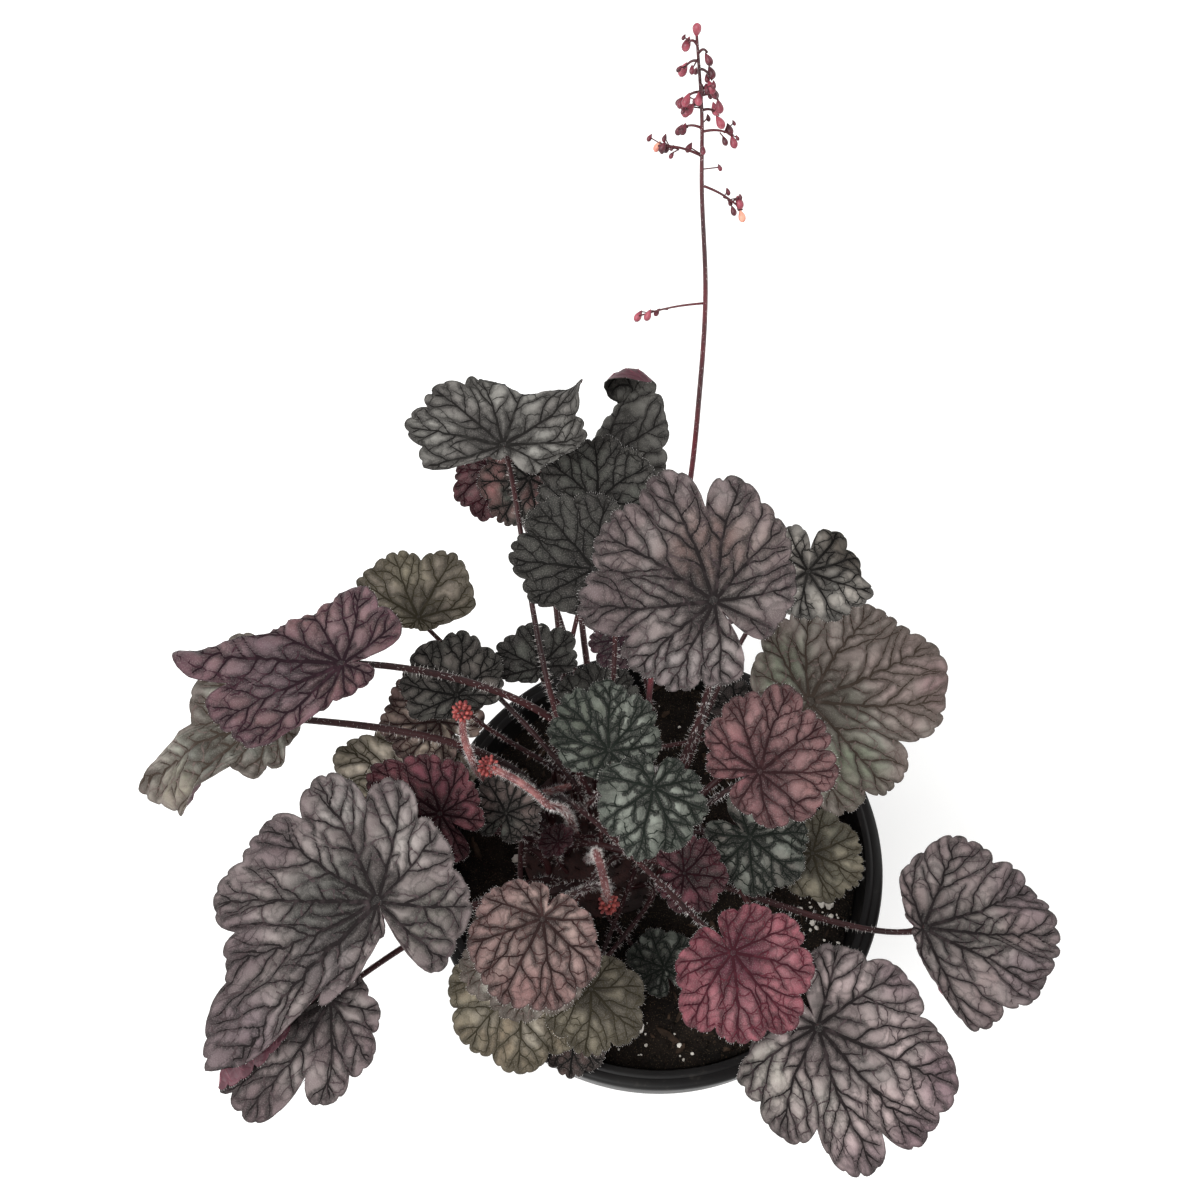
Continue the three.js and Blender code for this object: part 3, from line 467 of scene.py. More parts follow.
soil_rng = random.Random(11)
soil = make_piece("compost", [
    painted(soil_body()),
    painted(scatter(soil_rng, spots_on_soil(soil_rng, CRUMB_COUNT), CRUMB_RADII, (0.9, 1.5), 0.35, 1),
            smooth=False),
], [peat()])
shreds = make_piece("bark_shreds", [
    painted(scatter(soil_rng, spots_on_soil(soil_rng, SHRED_COUNT), SHRED_RADII, (1.8, 4.5), 0.2, 1),
            smooth=False),
], [bark()])
perlite = make_piece("perlite_chips", [
    painted(scatter(soil_rng, perlite_spots(soil_rng), PERLITE_RADII, (0.9, 1.4), 0.1, 2),
            smooth=False),
], [white_perlite()])
for piece in (soil, shreds, perlite):
    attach(piece, "root")
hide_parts("soil")


# ---- the crown ----
# The plant's short woody stem at soil level: a brown dome of old leaf bases, each with its dry
# scale, rooted in the compost. Every stalk grows out of it.
CROWN_X = -21
CROWN_Y = 10
CROWN_RADIUS = 31
CROWN_RISE = 6
CROWN_EDGE = 1
CROWN_DEPTH = 9
CROWN_SIDES = 90
CROWN_ROWS = 22
CROWN_TAPER = 0.96
SCALE_COUNT = 150
SCALE_THICKNESS = 0.35
GOLDEN_ANGLE = 137.508


def crown_height(out):
    """Height of the dome at a distance from its middle."""
    return SOIL_TOP + CROWN_EDGE + CROWN_RISE * (1 - (out / CROWN_RADIUS) ** 2)


def crown_body():
    """The dome itself, knobbly with old leaf bases."""
    rings = []
    for share in np.linspace(0, 1, CROWN_ROWS + 1)[1:]:
        ring = []
        for turn in np.linspace(0, 2 * math.pi, CROWN_SIDES, endpoint=False):
            ripple = noise.noise(Vector((2 * math.cos(turn), 2 * math.sin(turn), 5)))
            edge = CROWN_RADIUS * (1 + 0.05 * ripple)
            x, y = edge * share * math.cos(turn), edge * share * math.sin(turn)
            knob = 0.8 * noise.noise(Vector((x, y, 3)) * 0.35) + 0.5 * noise.noise(Vector((x, y, 3)) * 0.9)
            ring.append((x, y, crown_height(share * CROWN_RADIUS) + knob))
        rings.append(ring)
    rings.append([(x * CROWN_TAPER, y * CROWN_TAPER, SOIL_TOP - CROWN_DEPTH) for x, y, _ in rings[-1]])
    count = len(rings) * CROWN_SIDES
    points = np.concatenate([np.array(rings).reshape(-1, 3), [(0, 0, crown_height(0))],
                             [(0, 0, SOIL_TOP - CROWN_DEPTH)]]) + [CROWN_X, CROWN_Y, 0]
    first = np.arange(CROWN_SIDES)
    last = first + count - CROWN_SIDES
    return points, [grid_faces(len(rings), CROWN_SIDES), fan(count, first),
                    fan(count + 1, last[::-1])]


def dry_scales(rng):
    """Thin pointed scales that lean outward all over the dome, each a closed sliver."""
    points, faces = [], []
    for i in range(SCALE_COUNT):
        turn = i * math.radians(GOLDEN_ANGLE)
        out = CROWN_RADIUS * 0.97 * math.sqrt((i + 0.5) / SCALE_COUNT)
        base = np.array([CROWN_X + out * math.cos(turn), CROWN_Y + out * math.sin(turn),
                         crown_height(out) - 0.6])
        facing = np.array([math.cos(turn), math.sin(turn), 0])
        across = np.array([-math.sin(turn), math.cos(turn), 0])
        wide, tall = rng.uniform(1.0, 1.9), rng.uniform(2.5, 5)
        tip = base + facing * rng.uniform(0.5, 2.4) + np.array([0, 0, tall])
        belly = base + facing * 0.9 + np.array([0, 0, 0.45 * tall])
        corners = [base - across * wide, base + across * wide, belly + across * wide * 0.75,
                   tip, belly - across * wide * 0.75]
        start = len(points)
        points += corners + [c - facing * SCALE_THICKNESS - np.array([0, 0, 0.1]) for c in corners]
        faces += [(start, start + 1, start + 2), (start, start + 2, start + 4),
                  (start + 2, start + 3, start + 4)]
        faces += [(start + 6, start + 5, start + 7), (start + 7, start + 5, start + 9),
                  (start + 8, start + 7, start + 9)]
        for k in range(5):
            a, b = start + k, start + (k + 1) % 5
            faces += [(a, a + 5, b), (b, a + 5, b + 5)]
    return np.array(points), [np.array(faces)]


def woody():
    """Corky brown stem with reddish young tissue between the scales."""
    material, tree, shader = new_finish("woody_crown", 0.8)
    place = object_place(tree)
    tone = pattern(tree, "Noise", place, scale=110, detail=6).outputs[0]
    streak = pattern(tree, "Noise", place, scale=700, detail=4, distortion=1.5).outputs[0]
    base = blend_colours(tree, spread(tree, tone, 0.35, 0.7), "241613", "4a2622")
    streaked = blend_colours(tree, spread(tree, streak, 0.45, 0.7, 0, 0.6), base, "150d0b")
    tree.links.new(streaked, shader.inputs["Base Color"])
    raise_surface(tree, shader, streak, 0.4)
    return material


crown_rng = random.Random(5)
crown = make_piece("woody_crown", [
    painted(crown_body()),
    painted(dry_scales(crown_rng), smooth=False),
], [woody()])
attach(crown, "root")
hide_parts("crown")


# ---- the leaves ----
# Each leaf is one growth: a thin lobed blade with scalloped teeth and a net of dark veins, on its
# own hairy stalk. The blade is purple-red underneath, where the veins stand out as ribs. hub is
# where stalk and blade meet, heading the compass direction of the leaf's tip, lean how far the
# blade's upward normal tips along X and Y. lobes: (angle from the tip, reach, depth of the notch
# that follows). curls: (direction, distance from the hub, bend radius, bend angle, up if positive)
# and, where the line of the bend is itself a curve, (curvature, distance aside where that curve is
# nearest the hub). spot: the stalk's place on the crown's spiral. bow: how far the stalk's lower
# half is pushed aside. patches: (angle, distance, radius, colour, strength).
BLADE_THICKNESS = 0.5
MARGIN_THICKNESS = 0.26
SINUS_REACH = 4
NOTCH_DEPTH = 0.11
NOTCH_SHARPNESS = 2.6
CUP = 0.06
WAVE = 0.05
WAVES_ROUND = 5
TYPICAL_SIZE = 45
TOOTH_WIDTH = 5.4  # on a leaf of TYPICAL_SIZE
TOOTH_DEPTH = 1.35
PLEAT = 0.055
SWELL = 0.03
QUILT = 0.024
FOOT_DEPTH = 7
SPIRAL_STEP = 4.25
STALK_SIDES = 10
STALK_STEPS = 34
VEIN_STEP = 1.5  # on a leaf of TYPICAL_SIZE
LINK_STEP = 1.1
LINK_LIMIT = 18
NET_SCALE = 0.145  # cells of the fine net to a millimetre
SEED_STEP = 90.0  # sets the patterns of neighbouring leaves apart
RIDGE_WIDTH = 1.1  # in widths of the vein
RIDGE_LIFT = 0.1
RIB_LIFT = 0.4
STALK_HAIRS = 3.2  # to a millimetre
STALK_HAIR_LENGTH = 1.7
HAIR_CORNERS = (0, 2.094, 4.189)  # thirds of a turn, in radians
BIG_VEINS = (0, 1)  # ranks
SMALL_VEINS = (2, 3)
# The numbers of a leaf's finishes.
UPPER, UNDER, VEIN, RIB, STALK, HAIR, VEINLET = range(7)


def even_lobes(reach):
    """Seven lobes, the plain form of the smaller leaves."""
    return [(-146, reach * 0.74), (-97, reach * 0.86), (-49, reach * 0.95), (0, reach),
            (48, reach * 0.96), (98, reach * 0.85), (147, reach * 0.75)]


LEAVES = {
    "leaf_centre_broad": dict(
        hub=(13, 32, 262), heading=125, lean=(0.05, -0.45), kind="mauve", island="6f6160",
        spot=21, bow=(12, 4, 16),
        lobes=[(-152, 20, 0.03), (-118, 25, 0.08), (-78, 31, 0.05), (-46, 38, 0.27), (-16, 42),
               (20, 40, 0.09), (58, 41, 0.24), (93, 32, 0.04), (116, 30, 0.12), (150, 25)],
        # Its patches mix the leaf's own mottling with painted light and shade: the dark ones are partly
        # painted shade, the pale ones partly painted light.
        patches=[(-30, 16, 17, "6b4f49", 0.7), (30, 34, 10, "a3938f", 0.5), (8, 38, 9, "a99693", 0.5),
                 (111, 28, 14, "aaa2a0", 0.7), (-75, 28, 14, "a08f89", 0.6), (58, 34, 17, "5b4f4e", 0.6),
                 (140, 20, 12, "a09694", 0.5)],
    ),
    "leaf_centre_charcoal": dict(
        hub=(-23, 65, 224), heading=170, lean=(-0.15, -0.2), kind="charcoal", island="3a3734",
        spot=5, bow=(-16, 0, 4),
        lobes=[(-140, 18), (-88, 26), (-42, 31), (0, 29), (35, 24), (75, 17), (130, 15)],
        patches=[(0, 0, 60, "32302d", 0.6)],
    ),
    "leaf_back_dark": dict(
        hub=(-22, 98, 215), heading=90, lean=(0, -0.1), kind="charcoal", island="54524e",
        spot=35, bow=(-4, 16, -4),
        lobes=even_lobes(25),
    ),
    "leaf_back_saddle": dict(
        hub=(-54, 108, 234), heading=115, lean=(0.05, -0.4), kind="silver", island="76726e",
        spot=3, bow=(-28, -4, 12),
        lobes=[(-140, 16), (-112, 31), (-82, 34), (-45, 34), (-10, 25), (24, 31, 0.08), (53, 34),
               (82, 28), (104, 6)],
        curls=[(-40, 14.5, 6, -115, 0.009, 3), (-110, 16, 10, 35)],
    ),
    "leaf_back_upright": dict(
        hub=(-21, 127, 196), heading=60, lean=(0.35, -0.25), kind="silver", island="403f3b",
        spot=24, bow=(-12, -12, -8),
        lobes=[(-140, 24), (-98, 25), (-58, 26), (-20, 33), (14, 52), (52, 20), (98, 24), (142, 18)],
        curls=[(15, 35, 3.5, 155), (88, 2, 5, -115)],
        patches=[(14, 30, 60, "42413c", 0.6)],
    ),
    "leaf_back_under": dict(
        hub=(-47, 118, 199), heading=-120, lean=(0.1, -0.45), kind="charcoal", island="a06f6d",
        spot=14, bow=(-4, 16, 4),
        lobes=even_lobes(20),
    ),
    "leaf_back_turned": dict(
        hub=(-62, 128, 190), heading=-110, lean=(0.1, -0.3), kind="wine", island="675e59",
        spot=40, bow=(4, 16, 4),
        lobes=[(-150, 6), (-110, 9), (-65, 13), (-25, 18), (15, 21), (58, 15), (105, 9), (150, 6)],
    ),
    "leaf_right_folded": dict(
        # Its pale island tone is painted light that lifts the shade it lies in under the broad centre leaf.
        hub=(51, 74, 207), heading=-10, lean=(0.1, -0.35), kind="silver", island="d0c8be",
        spot=42, bow=(4, 4, 4),
        lobes=[(-140, 20), (-95, 17), (-50, 20), (-10, 24), (26, 21), (60, 22, 0.6), (125, 17),
               (158, 14)],
        curls=[(55, 10, 4, 80)],
        # The dark patch on the lobe bent up is painted shade.
        patches=[(40, 20, 16, "6e6358", 0.8)],
    ),
    "leaf_right_broad": dict(
        hub=(53, 39, 176), heading=20, lean=(0.3, -0.1), kind="green", island="998d86",
        spot=13, bow=(12, -4, -12),
        lobes=[(-140, 24), (-100, 42), (-66, 42, 0.24), (-18, 52, 0), (6, 57, 0.04), (36, 47, 0.08),
               (68, 38), (100, 30), (134, 24)],
        patches=[(0, 42, 28, "9a8582", 0.7), (-10, 52, 12, "9b6f78", 0.6), (40, 34, 16, "948782", 0.5),
                 (-80, 30, 18, "78836c", 0.8), (115, 18, 18, "737e69", 0.8), (-30, 14, 12, "78806f", 0.5)],
    ),
    "leaf_centre_salmon": dict(
        hub=(28, -7, 224), heading=20, lean=(0.2, -0.1), kind="salmon", island="8c6a6a",
        spot=39, bow=(8, 8, 0),
        lobes=[(-145, 14), (-102, 18), (-58, 21), (-18, 25), (18, 28), (50, 30), (86, 25), (125, 21),
               (158, 17)],
        patches=[(150, 8, 15, "6b2f3d", 0.5), (-100, 16, 14, "5b3a41", 0.5)],
    ),
    "leaf_centre_green": dict(
        hub=(-18, 15, 188), heading=95, lean=(0, -0.1), kind="veined", island="5e6358",
        spot=9, bow=(8, -4, 0),
        lobes=[(-142, 13), (-88, 18), (-45, 22), (-5, 25), (34, 25), (68, 22), (104, 16), (146, 11)],
    ),
    "leaf_centre_silver": dict(
        hub=(-4, -6, 208), heading=-100, lean=(-0.1, -0.2), kind="veined", island="5f615a",
        spot=8, bow=(8, 12, 8),
        lobes=[(-142, 12), (-96, 18), (-48, 20), (-4, 24), (34, 21), (74, 19), (110, 15), (146, 12)],
    ),
    "leaf_low_wine": dict(
        hub=(8, -18, 158), heading=-5, lean=(0.3, -0.2), kind="wine", island="503d3e",
        spot=29, bow=(-8, -12, 12),
        lobes=even_lobes(16),
    ),
    "leaf_low_veined": dict(
        hub=(32, -3, 152), heading=-40, lean=(0.1, -0.2), kind="veined", island="6e6661",
        spot=2, bow=(4, 0, 0),
        lobes=even_lobes(22),
    ),
    "leaf_low_green": dict(
        hub=(56, -4, 138), heading=-25, lean=(0.2, -0.1), kind="olive", island="706f61",
        spot=26, bow=(4, 4, 0),
        lobes=even_lobes(20),
    ),
    "leaf_far_right": dict(
        hub=(91, -34, 148), heading=-5, lean=(0.3, 0.15), kind="mauve", island="91807e",
        spot=12, bow=(4, 0, 0),
        lobes=[(-132, 6), (-98, 12), (-66, 38), (-17, 45, 0.02), (8, 53, 0.03), (28, 52, 0.17),
               (67, 42, 0.08), (108, 22), (148, 8)],
        patches=[(28, 46, 15, "86717a", 0.5), (-17, 40, 14, "8b7a80", 0.5), (8, 22, 14, "8d8a83", 0.5)],
    ),
    "leaf_front_right": dict(
        hub=(50, -70, 160), heading=-60, lean=(0.25, -0.35), kind="mauve", island="c0adab",
        spot=34, bow=(12, 20, 0),
        lobes=[(-148, 15), (-112, 22, 0.05), (-88, 32, 0.07), (-54, 36, 0.26), (-8, 50, 0.2),
               (15, 50, 0.03), (40, 51, 0.14), (93, 34), (133, 27)],
        patches=[(-80, 28, 18, "b2afa4", 0.7), (-30, 26, 14, "aca8a0", 0.5), (40, 50, 15, "8e6b78", 0.7),
                 (15, 52, 14, "946f7c", 0.7), (-8, 48, 14, "8f727b", 0.5), (93, 34, 12, "83646f", 0.5)],
    ),
    "leaf_front_pink": dict(
        hub=(21, -52, 184), heading=-55, lean=(0.1, -0.25), kind="pink", island="98646b",
        spot=22, bow=(-4, 0, 4),
        lobes=[(-152, 13), (-112, 19), (-70, 27), (-30, 28), (5, 30), (42, 27), (78, 23), (118, 17),
               (155, 13)],
        patches=[(0, 0, 15, "5a2a33", 0.7), (140, 14, 15, "5e3038", 0.6)],
    ),
    "leaf_front_brown": dict(
        hub=(-39, -44, 194), heading=-115, lean=(-0.1, -0.35), kind="brown", island="917773",
        spot=23, bow=(0, -8, -4),
        lobes=[(-150, 11), (-118, 15, 0.04), (-85, 20, 0.06), (-45, 25, 0.05), (-2, 29, 0.05), (34, 28, 0.05),
               (72, 24, 0.05), (112, 16), (152, 11)],
        patches=[(180, 2, 15, "a58d86", 0.55), (20, 26, 14, "8c5f5e", 0.5)],
    ),
    "leaf_front_silver": dict(
        hub=(-41, -47, 168), heading=-110, lean=(-0.15, -0.3), kind="green", island="756b61",
        spot=10, bow=(4, 4, 0),
        lobes=[(-146, 18), (-97, 24), (-52, 28), (0, 24), (48, 21), (98, 20), (147, 15)],
    ),
    "leaf_front_olive": dict(
        hub=(-49, -52, 140), heading=-90, lean=(-0.2, -0.3), kind="olive", island="978771",
        spot=30, bow=(-12, -4, 8),
        lobes=even_lobes(29),
        patches=[(14, 17, 8, "aaa294", 0.7), (-52, 15, 7, "a19a8c", 0.6), (88, 13, 8, "9c9587", 0.6)],
    ),
    "leaf_front_grey": dict(
        hub=(-24, -55, 148), heading=-45, lean=(0.05, -0.2), kind="olive", island="6e675c",
        spot=31, bow=(24, 4, -12),
        lobes=[(-146, 15), (-97, 19), (-49, 22), (0, 22), (48, 18), (98, 13), (147, 10)],
    ),
    "leaf_front_purple": dict(
        hub=(-30, -67, 130), heading=-95, lean=(0, -0.3), kind="charcoal", island="6d4f4b",
        spot=18, bow=(4, 0, -8),
        lobes=even_lobes(14),
        patches=[(0, 8, 30, "5c423f", 0.8)],
    ),
    "leaf_soil_young": dict(
        hub=(2, -42, 124), heading=110, lean=(0, 0.1), kind="veined", island="4a4b43",
        spot=36, bow=(-4, 0, -12),
        lobes=even_lobes(15),
    ),
    "leaf_left_broad": dict(
        hub=(-94, -34, 178), heading=120, lean=(-0.35, -0.25), kind="mauve", island="736967",
        spot=28, bow=(12, -4, 0),
        lobes=[(-162, 33, 0.04), (-128, 35, 0.09), (-78, 31, 0.13), (-46, 40, 0.22), (-3, 48, 0.18),
               (27, 50, 0.08), (56, 62, 0.13), (80, 57, 0), (101, 77, 0.35), (128, 28, 0.05), (156, 12)],
        patches=[(60, 20, 20, "4b4f4a", 0.7), (20, 14, 12, "5d5f59", 0.4), (-140, 24, 16, "56564e", 0.7),
                 (-60, 28, 16, "a7a19c", 0.6), (-10, 36, 12, "a3a09b", 0.6), (104, 26, 13, "5a5155", 0.5),
                 (101, 66, 22, "77656c", 0.7), (72, 54, 14, "705d64", 0.6), (30, 46, 13, "67555a", 0.6)],
    ),
    "leaf_left_lobed": dict(
        hub=(-111, -60, 153), heading=-115, lean=(-0.15, -0.3), kind="mauve", island="6c5c5d",
        spot=41, bow=(4, 8, 8),
        lobes=[(-142, 14), (-104, 24, 0.05), (-64, 38, 0.02), (-36, 48, 0.05), (-10, 46, 0.34), (26, 33),
               (60, 25), (100, 18), (142, 13)],
        curls=[(-98, 15, 2.2, 165)],
    ),
    "leaf_far_left": dict(
        hub=(-134, 29, 186), heading=-158, lean=(-0.35, -0.05), kind="green", island="70726a",
        spot=17, bow=(0, 16, 16),
        lobes=[(-162, 20), (-120, 27), (-84, 37, 0.03), (-58, 37, 0.02), (-24, 31, 0.02), (-12, 74, 0.02),
               (8, 56, 0.1), (27, 22, 0.02), (56, 23), (84, 20), (112, 14), (158, 18)],
        curls=[(0, 28, 8, -40)],
        patches=[(8, 55, 24, "857f69", 0.7)],
    ),
    "leaf_left_curled": dict(
        hub=(-104, 31, 222), heading=-170, lean=(-0.25, -0.4), kind="purple", island="69504f",
        spot=19, bow=(0, 8, 12),
        lobes=[(-155, 24), (-115, 26), (-66, 31), (-34, 38, 0.02), (-14, 61, 0.28), (12, 48, 0.03),
               (30, 42, 0.03), (54, 17), (84, 11), (150, 12)],
        curls=[(-78, 16, 5, -120)],
        patches=[(-10, 24, 20, "56494f", 0.7), (-60, 30, 18, "70494a", 0.6), (100, 14, 14, "6b4648", 0.6)],
    ),
    "leaf_left_upright": dict(
        hub=(-87, 71, 178), heading=80, lean=(0, -0.9), kind="olive", island="8c8276",
        spot=1, bow=(0, 8, 0),
        lobes=[(-150, 5), (-96, 8), (-62, 22, 0.03), (-17, 28, 0.17), (34, 26, 0.04), (70, 26),
               (100, 12), (150, 5)],
    ),
    "leaf_left_dark": dict(
        hub=(-72, 42, 174), heading=105, lean=(-0.05, -0.1), kind="charcoal", island="77706a",
        spot=6, bow=(-4, 8, -8),
        lobes=[(-150, 8), (-105, 17), (-62, 21), (-20, 24), (22, 24), (62, 21), (100, 18), (145, 9)],
    ),
    "leaf_left_brown": dict(
        hub=(-80, 40, 156), heading=135, lean=(-0.1, 0), kind="brown", island="c8b9a6",
        spot=0, bow=(-20, -20, -4),
        lobes=even_lobes(23),
    ),
    "leaf_left_olive": dict(
        # Its island tone is painted far paler than the leaf's own olive, as painted light against the shade
        # of the leaves above it.
        hub=(-84, 19, 140), heading=125, lean=(-0.15, 0), kind="olive", island="f0e4d0",
        spot=33, bow=(4, 8, -8),
        lobes=[(-144, 16), (-96, 20), (-50, 25), (-8, 31), (28, 41), (62, 36), (102, 26), (147, 18)],
    ),
    "leaf_left_wine": dict(
        hub=(-76, 0, 168), heading=140, lean=(-0.1, -0.2), kind="wine", island="8a5459",
        spot=25, bow=(4, -4, 8),
        lobes=[(-152, 16), (-112, 15), (-72, 19), (-32, 22), (5, 30), (42, 28), (84, 24), (126, 20),
               (160, 18)],
    ),
    "leaf_left_charcoal": dict(
        hub=(-54, 3, 160), heading=70, lean=(-0.1, -0.1), kind="charcoal", island="85736e",
        spot=38, bow=(8, 0, 8),
        lobes=even_lobes(15),
    ),
    "leaf_back_small": dict(
        hub=(-43, 54, 172), heading=100, lean=(0, 0), kind="charcoal", island="393735",
        spot=11, bow=(0, 12, 12),
        lobes=[(-140, 7), (-95, 14), (-50, 18), (0, 18), (50, 18), (95, 15), (140, 7)],
    ),
    "leaf_back_low": dict(
        hub=(-21, 44, 162), heading=105, lean=(0, 0.1), kind="charcoal", island="3e3e39",
        spot=15, bow=(4, 4, -8),
        lobes=even_lobes(18),
    ),
    "leaf_inner_purple": dict(
        hub=(-14, 58, 187), heading=-120, lean=(0, -0.2), kind="purple", island="47403e",
        spot=37, bow=(8, 12, 16),
        lobes=even_lobes(12),
        patches=[(0, 0, 26, "302d2a", 0.9)],
    ),
    "leaf_back_right": dict(
        hub=(30, 44, 152), heading=95, lean=(0.1, 0.1), kind="charcoal", island="423534",
        spot=32, bow=(4, 8, 0),
        lobes=even_lobes(16),
    ),
    "leaf_new_red": dict(
        hub=(-36, -3, 147), heading=135, lean=(-0.3, 0.2), kind="wine", island="29191a",
        spot=20, bow=(-8, 8, -8),
        lobes=even_lobes(8),
    ),
}

# What each kind of leaf is coloured like: paler tone between the veins, margin, veins and hub; then
# how far in mm the dark of a vein spreads into the blade, at what share of that it is darkest, how
# dark that is, how dark the fine net, and how far the thin veins fade towards the margin's colour.
LEAF_KINDS = {
    "mauve": dict(pale="938986", margin="6b5c5e", vein="171414", hub="211e1d",
                  halo=1.1, core=0.2, soak=0.6, net=0.3, faint=0.35),
    "silver": dict(pale="94928c", margin="5f5d59", vein="171514", hub="1f1d1c",
                   halo=1.1, core=0.2, soak=0.6, net=0.25, faint=0.25),
    "green": dict(pale="96968b", margin="7a6c68", vein="352d26", hub="332e28",
                  halo=1.6, core=0.2, soak=0.55, net=0.12, faint=0.55),
    "charcoal": dict(pale="54564f", margin="393734", vein="0f0e0d", hub="141211",
                     halo=1.1, core=0.2, soak=0.6, net=0.25, faint=0.25),
    # The veined kind's margin is partly the leaf's own dark edge and partly painted shade, for the shaded far
    # side of these leaves.
    "veined": dict(pale="8f948a", margin="3a413a", vein="171b17", hub="101310",
                   halo=0.95, core=0.6, soak=0.9, net=0.3, faint=0.1),
    "salmon": dict(pale="8c6866", margin="6a4849", vein="241416", hub="3a1b20",
                   halo=1.1, core=0.2, soak=0.6, net=0.25, faint=0.25),
    "pink": dict(pale="a3646c", margin="80404b", vein="30131a", hub="45182a",
                 halo=1.0, core=0.2, soak=0.55, net=0.3, faint=0.25),
    "brown": dict(pale="9b847e", margin="694d4b", vein="1f1413", hub="271716",
                  halo=1.1, core=0.2, soak=0.65, net=0.3, faint=0.25),
    "olive": dict(pale="a59c86", margin="565043", vein="2e2a20", hub="2c2821",
                  halo=1.6, core=0.3, soak=0.55, net=0.12, faint=0.5),
    "wine": dict(pale="74404b", margin="582a33", vein="17080c", hub="120608",
                 halo=1.3, core=0.2, soak=0.6, net=0.25, faint=0.25),
    "purple": dict(pale="7f6669", margin="5f404a", vein="1a0f14", hub="201519",
                   halo=1.1, core=0.2, soak=0.6, net=0.25, faint=0.25),
}


def size_of(leaf):
    """Reach of the longest lobe."""
    return max(lobe[1] for lobe in leaf["lobes"])


def lobe_reach(lobes, angle):
    """Distance from the hub to the edge, before the teeth are cut."""
    if angle <= lobes[0][0] or angle >= lobes[-1][0]:
        basal = lobes[0] if angle <= lobes[0][0] else lobes[-1]
        way = (abs(angle) - abs(basal[0])) / (180 - abs(basal[0]))
        return max(SINUS_REACH, basal[1] * max(1 - way ** 3, 0) ** 0.7)
    i = next(k for k, lobe in enumerate(lobes) if lobe[0] > angle) - 1
    start, reach, notch = (*lobes[i], NOTCH_DEPTH)[:3]
    end, next_reach = lobes[i + 1][:2]
    way = (angle - start) / (end - start)
    between = 1 - abs(2 * way - 1)
    eased = 0.5 * way + 0.5 * way ** 2 * (3 - 2 * way)
    return (reach + (next_reach - reach) * eased) * (1 - notch * between ** NOTCH_SHARPNESS)


def half_lobes(lobes):
    """Each lobe's two halves as (angle of its middle, angle of the notch beside it)."""
    middles = [lobe[0] for lobe in lobes]
    notches = [-180] + [(a + b) / 2 for a, b in zip(middles, middles[1:])] + [180]
    halves = []
    for middle, low, high in zip(middles, notches, notches[1:]):
        halves += [(middle, low), (middle, high)]
    return halves


def edge_columns(leaf, rng):
    """The blade's columns: angle, reach and how deep the cut between two teeth is there."""
    size = size_of(leaf)
    width = TOOTH_WIDTH * (size / TYPICAL_SIZE) ** 0.35
    depth = TOOTH_DEPTH / size * (size / TYPICAL_SIZE) ** 0.4
    angles, reaches, cuts = [], [], []
    for middle, notch in half_lobes(leaf["lobes"]):
        arc = math.radians(abs(notch - middle)) * lobe_reach(leaf["lobes"], (notch + middle) / 2)
        half_teeth = 2 * max(round((2 * arc / width - 1) / 2), 0) + 1
        cut_depths = [depth * rng.uniform(0.35, 1.6) for _ in range(half_teeth)]
        steps = 3 * half_teeth
        shares = [k / steps for k in range(steps)]
        if notch < middle:
            shares = [1 - share for share in shares]
        for share in shares:
            angle = middle + (notch - middle) * share
            place = share * half_teeth / 2
            off = 2 * abs(place - round(place))
            cut = cut_depths[min(int(place + 0.001), half_teeth - 1)]
            angles.append(angle)
            reaches.append(lobe_reach(leaf["lobes"], angle))
            cuts.append(cut * off ** 3 * min(1, (180 - abs(angle)) / 14))
    return np.array(angles), np.array(reaches), np.array(cuts)


def blade_rings(size):
    """Shares of the reach at which the blade has a ring of points, closer near the edge."""
    inner = np.linspace(0.045, 0.945, max(12, round(size / 1.7)))
    return np.concatenate([inner, [0.975, 0.992, 1.0]])


def leaf_axes(leaf):
    """Unit vectors towards the tip, to its left and up out of the blade."""
    normal = Vector((*leaf["lean"], 1)).normalized()
    turn = math.radians(leaf["heading"])
    ahead = Vector((math.cos(turn), math.sin(turn), 0))
    ahead = (ahead - normal * ahead.dot(normal)).normalized()
    return np.array([ahead, normal.cross(ahead), normal])


def curl_over(points, toward, start, radius, bend, curvature=0, middle=0):
    """Bends the blade about a line across it."""
    dx, dy = math.cos(math.radians(toward)), math.sin(math.radians(toward))
    x, y, z = points.T
    aside = y * dx - x * dy - middle
    over = np.maximum(x * dx + y * dy - start - curvature * aside ** 2, 0)
    side = math.copysign(1, bend)
    full = math.radians(abs(bend))
    angle = np.minimum(over / radius, full)
    rest = np.maximum(over - radius * full, 0)
    along = radius * np.sin(angle) + rest * np.cos(angle) - side * z * np.sin(angle)
    rise = side * (radius * (1 - np.cos(angle)) + rest * np.sin(angle))
    shift = np.where(over > 0, along - over, 0)
    return np.stack([x + shift * dx, y + shift * dy, rise + z * np.cos(angle)], -1)


def off_vein(leaf, turn):
    """How far each direction is from its lobe's main vein, from 0 there to 1 at the notch."""
    marks, values = [-180], [1]
    for middle, notch in half_lobes(leaf["lobes"]):
        marks += [middle] if notch < middle else [notch]
        values += [0] if notch < middle else [1]
    return np.interp(np.degrees(turn), marks, values)


